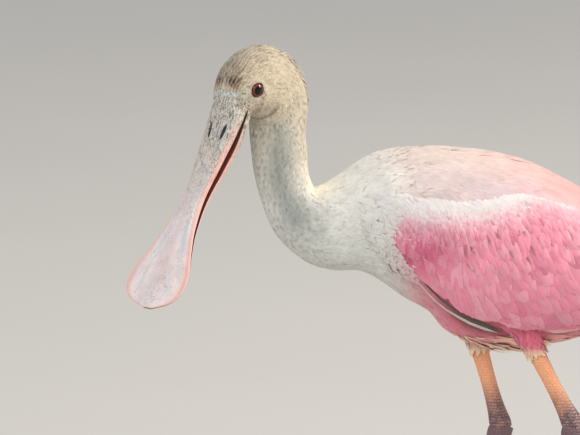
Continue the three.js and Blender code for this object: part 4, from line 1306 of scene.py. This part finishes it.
def tail_feather(i, side, rng):
    """One long feather, from the outermost pair at the bottom to the middle pair on top"""
    start_y, end_y = side * (1.5 + 0.8 * i), side * (4.2 + 3.9 * i)
    run = 429 - 1.2 * i - TAIL_START
    lift = -0.5 * i - (0.25 if side > 0 else 0)
    made = vanes(tail_face, np.array([TAIL_START]), np.array([start_y]), run, 7.4,
                 math.atan2(end_y - start_y, run), lift, rng, LONG, 7, 14, sink=0.4 * i, thick=0.4,
                 sweep=0.7, ragged=0.05, cup=0.03)
    place = np.array([[0.5 + 0.4 * i / TAIL_PAIRS, 0.5 + side * 0.2]])
    return made, TAIL_BUFF[None] * rng.uniform(0.95, 1.03), place


def tail_coat():
    rng = np.random.default_rng(SEED + 90)
    groups = [tail_covert_row(row, rng) for row in range(6)]
    groups += [tail_feather(i, side, rng) for i in range(TAIL_PAIRS - 1, -1, -1) for side in (-1, 1)]
    coat("coat_tail", groups, FEATHER_LONG, ["tail"])


# Bill
bill_half = profile([
    [0, 14], [0.15, 13.6], [0.3, 11.4], [0.47, 9.4], [0.62, 12.8], [0.72, 18], [0.82, 24], [0.88, 25.4],
    [0.93, 23.6], [0.97, 17], [1, 4],
])
upper_depth = profile([[0, 13], [0.15, 7.4], [0.3, 5.2], [0.47, 4], [0.7, 2.6], [0.9, 2], [1, 1.4]])
lower_depth = profile([
    [0, 11.5], [0.15, 10.8], [0.25, 9.4], [0.35, 7.2], [0.47, 4.8], [0.7, 2.8], [0.9, 2], [1, 1.3],
])
mouth_level = profile([[0, -3.4], [0.15, -2.6], [0.47, -0.4], [0.8, 3.4], [0.95, 5], [1, 4.6]])
mouth_gap = profile([
    [0, 1.2], [0.12, 4], [0.2, 5.4], [0.3, 5.2], [0.42, 4.2], [0.6, 2.8], [0.8, 1.5], [0.92, 0.9],
    [1, 0.6],
])


NOSTRIL = {
    "from_base": 25.5, "half_length": 6.2, "half_width": 1.3, "apart": 6.0, "slant": 0.12, "depth": 2.0,
}


def nostrils(s, y):
    """1 in the slits of the nostrils and 0 around them, at s from the bill's base and y across"""
    off = s - NOSTRIL["from_base"]
    slit = np.zeros_like(y)
    for side in (-1, 1):
        across = (y - side * (NOSTRIL["apart"] - NOSTRIL["slant"] * off)) / NOSTRIL["half_width"]
        slit = slit + np.exp(-(((off / NOSTRIL["half_length"]) ** 2 + across**2) ** 1.5))
    return slit


def bill_part(sign):
    """The upper half of the bill for +1 and the lower for -1, with its rim, grooves and nostrils"""
    outer_count, inner_count = 61, 15
    start = -5 if sign > 0 else -3
    s = start + (BILL_LENGTH - start) * (1 - (1 - np.linspace(0, 1, 150)) ** 1.25)[:, None]
    part = s / BILL_LENGTH
    level = mouth_level(part) - (0 if sign > 0 else mouth_gap(part))
    depth = (upper_depth if sign > 0 else lower_depth)(part)
    half = bill_half(part) * (1 if sign > 0 else 0.96)
    angle = np.linspace(0, math.pi, outer_count)[None]
    y = -np.cos(angle) * half
    rise = np.sin(angle) ** 0.8 * depth
    slit = np.zeros_like(rise)
    if sign > 0:
        # A groove runs inside each edge and meets the other at the tip.
        groove = hill(half - np.abs(y), 2.6, 0.8) * smooth(part, 0.02, 0.2) * (1 - smooth(part, 0.9, 0.98))
        rise = rise - 0.45 * groove * (rise > 0.3)
        slit = nostrils(s, y)
    z = level + sign * rise - NOSTRIL["depth"] * slit
    inner_y = np.linspace(0.93, -0.93, inner_count)[None] * half
    inner_z = level + (0.25 * sign * depth * 0.3 + sign * 0.5 * (1 - (inner_y / half) ** 2))
    ring_y = np.concatenate([y, inner_y], 1)
    ring_z = np.concatenate([z, inner_z], 1)
    lean = 0.42 * (1 - smooth(part, start / BILL_LENGTH, 0.08))
    rings = np.stack([-s + lean * (ring_z - level), ring_y, ring_z], -1)
    marks = np.concatenate([slit, 2 * np.ones_like(inner_z)], 1)
    info = np.stack(np.broadcast_arrays(part, np.abs(ring_y) / half, marks), -1)
    points, quads = tube(from_head(rings, BILL_MATRIX))
    return (points, quads if sign > 0 else quads[:, ::-1]), {"place": info.reshape(-1, 3)}


def bill():
    horn = bill_material()
    for sign, name in ((1, "bill_upper"), (-1, "bill_lower")):
        shape, floats = bill_part(sign)
        new_mesh(name + "_horn", shape, horn, [name], floats=floats)


def bill_material():
    """Grey and veined at the base, pink at the spoon, salmon at the rim, painted shade in the nostrils and
    red-brown in the mouth
    """
    m = Material("bill_horn")
    part, edge, mark = m.read("place")
    near = m.span(part, 0.03, 0.65, 0.85, 0.1)
    clouds = m.noise(75.0, 5.0, m.stretched(0.4))
    colour = m.layers(
        m.blend(m.span(part, 0.1, 0.75), (196, 191, 178), (238, 222, 218)),
        (m.span(clouds, 0.45, 0.65, 0.0, 0.3), (176, 178, 182)),
        (m.span(m.noise(110.0, 4.0), 0.5, 0.68, 0.0, 0.4), (216, 188, 178)),
    )
    # Fine dark wrinkles, closest at the base
    seams = m.span(m.cells(700.0, m.stretched(0.35)), 0.0, 0.09, 1.0, 0.0)
    lines = m.product(seams, m.span(m.noise(190.0), 0.38, 0.56), near)
    grain = m.vector(m.product(part, 34.0), m.product(edge, 15.0), m.product(m.noise(60.0, 1.0), 6.0))
    veins = m.noise(1.0, 4.0, grain)
    colour = m.layers(
        colour,
        (lines, (84, 74, 66)),
        (m.product(m.span(m.noise(800.0, 2.0), 0.6, 0.68), near), (70, 58, 50)),
        (m.product(m.span(veins, 0.53, 0.61, 0.0, 0.85), near), (96, 90, 78)),
        (m.product(m.span(veins, 0.44, 0.34, 0.0, 0.6), near), (206, 206, 198)),
    )
    # Long bluish veins and fine specks down the middle of the spoon
    inner = m.product(m.span(edge, 0.9, 0.6), m.span(part, 0.3, 0.5))
    middle = m.product(m.span(edge, 0.2, 0.5), m.span(edge, 0.8, 0.5), m.span(part, 0.99, 0.8))
    grain = m.vector(m.product(part, 3.5), m.product(edge, 4.5), m.product(m.noise(30.0, 1.0), 2.0))
    veins = m.product(m.span(m.noise(1.0, 3.0, grain), 0.4, 0.62), inner, m.sum_of(middle, 0.6, 0.1))
    shadow = m.product(m.span(edge, 0.5, 0.0), m.span(part, 0.45, 0.65, 0.0, 0.4), m.span(part, 0.95, 0.8))
    specks = m.product(m.span(m.noise(900.0, 2.0), 0.56, 0.66, 0.0, 0.5), inner)
    specks = m.product(specks, m.span(m.noise(90.0), 0.4, 0.6))
    rim = m.product(m.span(edge, 0.74, 0.98), m.span(part, 0.05, 0.3), 0.8)
    colour = m.layers(
        colour,
        (veins, (178, 194, 208)),
        (shadow, (196, 172, 176)),
        (specks, (120, 106, 112)),
        (rim, (232, 172, 158)),
        # Painted shade in the nostril slits, then the mouth's own red-brown inside
        (m.span(mark, 0.25, 0.6), (34, 40, 52)),
        (m.span(mark, 1.2, 1.8), (150, 78, 70)),
    )
    height = m.sum_of(lines, -1.5, m.noise(500.0, 5.0))
    depth = {"Subsurface Weight": 0.1, "Subsurface Radius": (0.004, 0.002, 0.0015)}
    return m.finish(colour, 0.45, (height, 0.0004, 0.7), depth)


# Eyes
def eye_axes(side):
    """The eye's outward axis and two across it"""
    axis = eye_axis(side)
    other = unit(np.cross(axis, [0, 0, 1.0]))
    return axis, other, np.cross(axis, other)


def eye(side):
    axis, other, third = eye_axes(side)
    polar = np.linspace(0.02, math.pi - 0.02, 48)[:, None]
    turn = circle(64)[None]
    bulge = EYE_RADIUS + 0.35 * hill(polar, 0, 0.6)
    ring = (axis * (np.cos(polar) * bulge)[..., None] + np.zeros((1, 64, 1))
            + other * (np.sin(polar) * np.cos(turn) * bulge)[..., None]
            + third * (np.sin(polar) * np.sin(turn) * bulge)[..., None])
    info = np.stack(np.broadcast_arrays(polar, turn, 0 * polar), -1)
    return tube(from_head(ring + eye_place(side))), {"place": info.reshape(-1, 3)}


def eye_material():
    """A black pupil in a rayed red-brown iris with a dark rim, under a wet gloss"""
    m = Material("eye_wet")
    polar, turn, _ = m.read("place")
    rays = m.noise(1.0, 4.0, m.vector(m.product(turn, 9.0), polar))
    iris = m.blend(rays, (62, 24, 16), (160, 72, 36))
    colour = m.blend(m.span(polar, 0.54, 0.57), (6, 5, 5), iris)
    colour = m.blend(m.span(polar, 0.72, 0.80), colour, (40, 22, 18))
    return m.finish(colour, 0.12, others={"Specular IOR Level": 0.3})


LID_FOLDS = 23
LID_LONG = 72
LID_ROUND = 16


def lids():
    """A wrinkled ring of lid round each eye, sunk in the face"""
    parts, info = [], []
    for side in (-1, 1):
        axis, other, third = eye_axes(side)
        turn = circle(LID_LONG)[:, None]
        around = circle(LID_ROUND)[None]
        fat = 0.95 + 0.12 * np.sin(turn * LID_FOLDS) * np.sin(around)
        radius = 5.55 + fat * np.cos(around) * 1.25
        ahead = 3.5 + fat * np.sin(around) * 0.9
        oval = 1 + 0.06 * np.cos(2 * turn)
        ring = (axis * ahead[..., None] + other * (np.cos(turn) * radius * oval)[..., None]
                + third * (np.sin(turn) * radius / oval)[..., None])
        points = from_head(ring + eye_place(side))
        parts.append((points.reshape(-1, 3), grid_quads(LID_LONG + 1, LID_ROUND) % (LID_LONG * LID_ROUND)))
        info.append(np.stack(np.broadcast_arrays(np.cos(around), turn, 0 * turn), -1).reshape(-1, 3))
    return joined(parts), {"place": np.concatenate(info)}


def lid_material():
    """Bare folded skin, dark at its inner edge"""
    m = Material("bare_face")
    fine = m.noise(700.0, 4.0)
    outward, turn, _ = m.read("place")
    folds = m.calc("SINE", m.product(turn, LID_FOLDS))
    colour = m.layers(
        m.blend(m.span(fine, 0.35, 0.7), (166, 138, 124), (206, 198, 188)),
        (m.span(folds, -0.4, -1.0, 0.0, 0.5), (120, 92, 82)),
        (m.span(outward, 0.1, -0.75), (52, 36, 34)),
    )
    return m.finish(colour, 0.55, (fine, 0.0003, 0.7))


# Legs and feet
def scaly_material(name, upper, lower, dusk_low, dusk_high):
    """Small reticulate scales, paler between, turning dusky downwards"""
    m = Material(name)
    where = m.place()
    cells = m.cells(520.0, where)
    height = m.add("SeparateXYZ", {0: where}).outputs[2]
    patches = m.sum_of(m.span(m.noise(130.0, 4.0), 0.35, 0.65), 0.5, 0.7)
    dusk = m.product(m.span(height, dusk_low, dusk_high, 1.0, 0.0), patches)
    # Broad scutes across the leg, fainter where the skin is still smooth
    wave = m.sum_of(height, 2900.0, m.product(m.noise(70.0, 1.0), 6.0))
    depth = m.sum_of(dusk, 0.6, 0.08)
    colour = m.layers(
        m.blend(dusk, upper, lower),
        (m.product(m.span(m.noise(260.0), 0.5, 0.62, 0.0, 0.45), dusk), (196, 168, 164)),
        (m.product(m.span(m.calc("SINE", wave), 0.35, 0.95), depth), (70, 46, 48)),
        (m.product(m.span(cells, 0.0, 0.12, 0.8, 0.0), depth), (70, 46, 44)),
    )
    return m.finish(colour, 0.5, (m.span(cells, 0.02, 0.16), 0.0004, 0.8))


TOES = {"inner": (-30, 46, 4.1), "middle": (-1, 60, 4.3), "outer": (27, 51, 4.2), "hind": (176, 24, 3.5)}
CLAW_LENGTH = 9.0
CLAW_RADIUS = 1.7


def toe_direction(leg, out):
    angle = math.pi - leg["side"] * math.radians(out)
    return np.array([math.cos(angle), math.sin(angle), 0])


def floor_rings(centres, direction, radius, count=20):
    """Rings that lie flat on the floor"""
    across = np.array([-direction[1], direction[0], 0])
    angle = circle(count)
    rings = centres[:, None] + across * (np.sin(angle) * radius[:, None])[..., None]
    rings[..., 2] = np.maximum(0, centres[:, None, 2] + np.cos(angle) * radius[:, None])
    return rings


def toe(leg, out, length, radius):
    direction = toe_direction(leg, out)
    lumps = np.array([1, 0.9, 1, 0.78, 0.86, 0.62, 0.52])[:, None]
    share = np.linspace(0, 1, 48)
    r = radius * between(lumps, share)[:, 0]
    scutes = 1 + 0.03 * np.abs(np.sin(share * length * 1.1))
    centres = leg["foot"] * [1, 1, 0] + np.outer(share * length, direction)
    centres[:, 2] = r * 0.78
    return tube(floor_rings(centres, direction, r * scutes))


def web(leg, first, second, reach):
    """The web between two toes, hollow at its front edge"""
    start = leg["foot"] * [1, 1, 0]
    a, b = (toe_direction(leg, TOES[t][0]) * TOES[t][1] * reach for t in (first, second))
    share = np.linspace(0, 1, 14)[:, None]
    hollow = 1 - 0.42 * np.sin(share * math.pi)
    edge = (a + (b - a) * share) * hollow
    sheet = start + edge[None] * np.linspace(0.05, 1, 10)[:, None, None]
    top, under = sheet.copy(), sheet[:, ::-1].copy()
    top[..., 2] = 2.3
    under[..., 2] = 0.9
    return tube(np.concatenate([top, under], 1))


def foot(leg):
    heel = leg["foot"]
    angle = circle(28)
    z = np.linspace(0, FOOT_TOP, 12)
    r = profile([[0, 5.4], [3, 6.2], [6, 6], [FOOT_TOP, 5.6]])(z)
    pad = np.stack([
        heel[0] + np.cos(angle) * r[:, None], heel[1] + np.sin(angle) * r[:, None],
        np.broadcast_to(z[:, None], (12, 28)),
    ], -1)
    parts = [tube(pad)] + [toe(leg, *row) for row in TOES.values()]
    parts += [web(leg, "inner", "middle", 0.42), web(leg, "middle", "outer", 0.5)]
    return joined(parts)


def claw(leg, out, length, radius):
    direction = toe_direction(leg, out)
    start = leg["foot"] * [1, 1, 0] + direction * (length + GAP)
    share = np.linspace(0, 1, 12)
    size, height = between([[1, 0.7], [0.72, 0.62], [0.16, 0.2]], share).T
    centres = start + np.outer(share * CLAW_LENGTH, direction)
    centres[:, 2] = radius * height
    return tube(floor_rings(centres, direction, CLAW_RADIUS * size, 12))


def claw_material():
    m = Material("claw_horn")
    return m.finish(m.blend(m.noise(600.0), (34, 28, 26), (70, 60, 54)), 0.35)


# The thighs' down
def thigh(name, leg):
    """The thigh's skin and the down on it, pink above and cream below, the cream partly painted light
    shining through the down
    """
    rings = limb(leg["knee"], leg["bare"], THIGH_ROWS, 40, 30)
    centre = rings.mean(1, keepdims=True)
    shape = tube(centre + (rings - centre) * 0.78)
    tint = np.broadcast_to(tinted(WHITE, FLANK_PINK, 0.7), shape[0].shape)
    new_mesh(f"thigh_{name}_skin", shape, SKIN, floats={"tint": tint})
    surface, run = thigh_surface(leg)
    rng = np.random.default_rng(SEED + 7)
    along, angle = spread(surface, (2, run - 2), lambda at: (2.1, 1.8), rng).T
    n = len(along)
    length = rng.uniform(8, 11, n) + 2 * smooth(along / run, 0.6, 1)
    bearing = rng.normal(0, 0.15, n)
    lift = rng.uniform(-0.2, 1.4, n)
    made = vanes(surface, along, angle, length, 1.6, bearing, lift, rng, POINTED, 3, 6, sink=2.0, thick=0.15,
                 curl=0.4)
    # The lower down: cream, partly painted light shining through it
    colours = tinted(BACKLIT_CREAM, FLANK_PINK, smooth(made["points"][:, 2], 161, 171))
    colours = colours * each_point(rng.uniform(0.82, 1.06, (n, 1)), made)
    groups = [(made, colours, np.stack([along / run, angle % TURN / TURN], -1))]
    coat(f"coat_thigh_{name}", groups, FEATHER_FINE, [f"leg_{name}_thigh"])


# Everything in place
FLESH = ["head", "neck_upper", "neck_middle", "neck_lower", "torso"]
SKIN = skin_material()
FEATHER_FINE = feather_material("feather_fine", 12.0, 0.93)
FEATHER_WING = feather_material("feather_wing", 26.0, 0.9, 1.06)
FEATHER_LONG = feather_material("feather_long", 60.0, 0.86, 0.97)


def head():
    """The skin of the whole body, the lids, the bill and the eyes"""
    shape, floats = skin()
    new_mesh("skin", shape, SKIN, FLESH, floats=floats)
    shape, floats = lids()
    new_mesh("eyelids", shape, lid_material(), floats=floats)
    bill()
    wet = eye_material()
    for side, name in ((-1, "eye_left"), (1, "eye_right")):
        shape, floats = eye(side)
        new_mesh(name + "_ball", shape, wet, [name], floats=floats)


def legs():
    shank_skin = scaly_material("shank_scales", (250, 178, 134), (124, 98, 102), 0.112, 0.144)
    foot_skin = scaly_material("foot_scales", (118, 92, 98), (96, 78, 80), 0.02, 0.1)
    horn = claw_material()
    for name, leg in LEGS.items():
        thigh(name, leg)
        shank = tube(limb(leg["bare"], leg["ankle"], SHANK_ROWS, 32, 60))
        new_mesh(f"shank_{name}", shank, shank_skin, [f"leg_{name}_shank"])
        tarsus = tube(limb(leg["ankle"], leg["foot"], TARSUS_ROWS, 32, 80))
        new_mesh(f"tarsus_{name}", tarsus, foot_skin, [f"leg_{name}_tarsus"])
        new_mesh(f"foot_{name}_skin", foot(leg), foot_skin, [f"foot_{name}"])
        claws = joined([claw(leg, *row) for row in TOES.values()])
        new_mesh(f"claws_{name}", claws, horn, [f"claw_{name}_{toe_name}" for toe_name in TOES])


head()
body_coat()
back_coat()
wing(-1, "left")
wing(1, "right")
tail_coat()
legs()


# Floor, light and camera
def floor_piece():
    mesh = bpy.data.meshes.new("floor")
    reach = 16.0
    corners = [(-reach, -reach, 0), (reach, -reach, 0), (reach, reach, 0), (-reach, reach, 0)]
    mesh.from_pydata(corners, [], [(0, 1, 2, 3)])
    floor = bpy.data.objects.new("floor", mesh)
    bpy.context.scene.collection.objects.link(floor)
    m = Material("floor_pale")
    mesh.materials.append(m.finish(m.blend(m.noise(2.0, 2.0), (196, 195, 192), (202, 201, 198)), 0.9))


def area_light(name, place, size, power_watts, colour, target=(0, 0, 0.25)):
    light = bpy.data.lights.new(name, "AREA")
    light.shape = "DISK"
    light.size = size
    light.energy = power_watts
    light.color = colour
    made = bpy.data.objects.new(name, light)
    made.location = place
    made.rotation_euler = (Vector(target) - Vector(place)).to_track_quat("-Z", "Y").to_euler()
    bpy.context.scene.collection.objects.link(made)


floor_piece()
area_light("key", (4.3, -0.7, 2.9), 1.8, 275, (1.0, 0.90, 0.78))
area_light("fill", (-2.4, -3.6, 2.6), 3.0, 118, (0.98, 0.99, 1.0))
world = bpy.data.worlds.new("studio")
world.use_nodes = True
world.node_tree.nodes["Background"].inputs[0].default_value = (0.94, 0.95, 0.97, 1)
world.node_tree.nodes["Background"].inputs[1].default_value = 0.55
bpy.context.scene.world = world

# The camera looks from the bird's left front with a long lens, as far off as makes 1.42 pixels a millimetre.
CAMERA_AZIMUTH, CAMERA_ELEVATION = math.radians(-12), math.radians(7)
CAMERA_DISTANCE = 6000.0
AIM = np.array([0, 0, 262.0])
PIXELS_PER_MM = 1.42
IMAGE_WIDTH = 580
away = np.array([
    math.sin(CAMERA_AZIMUTH) * math.cos(CAMERA_ELEVATION),
    -math.cos(CAMERA_AZIMUTH) * math.cos(CAMERA_ELEVATION),
    math.sin(CAMERA_ELEVATION),
])
lens = bpy.data.cameras.new("camera")
lens.sensor_width = 36
lens.lens = PIXELS_PER_MM * CAMERA_DISTANCE * lens.sensor_width / IMAGE_WIDTH
lens.clip_end = 100
camera = bpy.data.objects.new("camera", lens)
camera.location = Vector((AIM + SHIFT + away * CAMERA_DISTANCE) / 1000)
camera.rotation_euler = Vector(-away).to_track_quat("-Z", "Y").to_euler()
bpy.context.scene.collection.objects.link(camera)
bpy.context.scene.camera = camera
bpy.context.scene.view_settings.view_transform = "Standard"
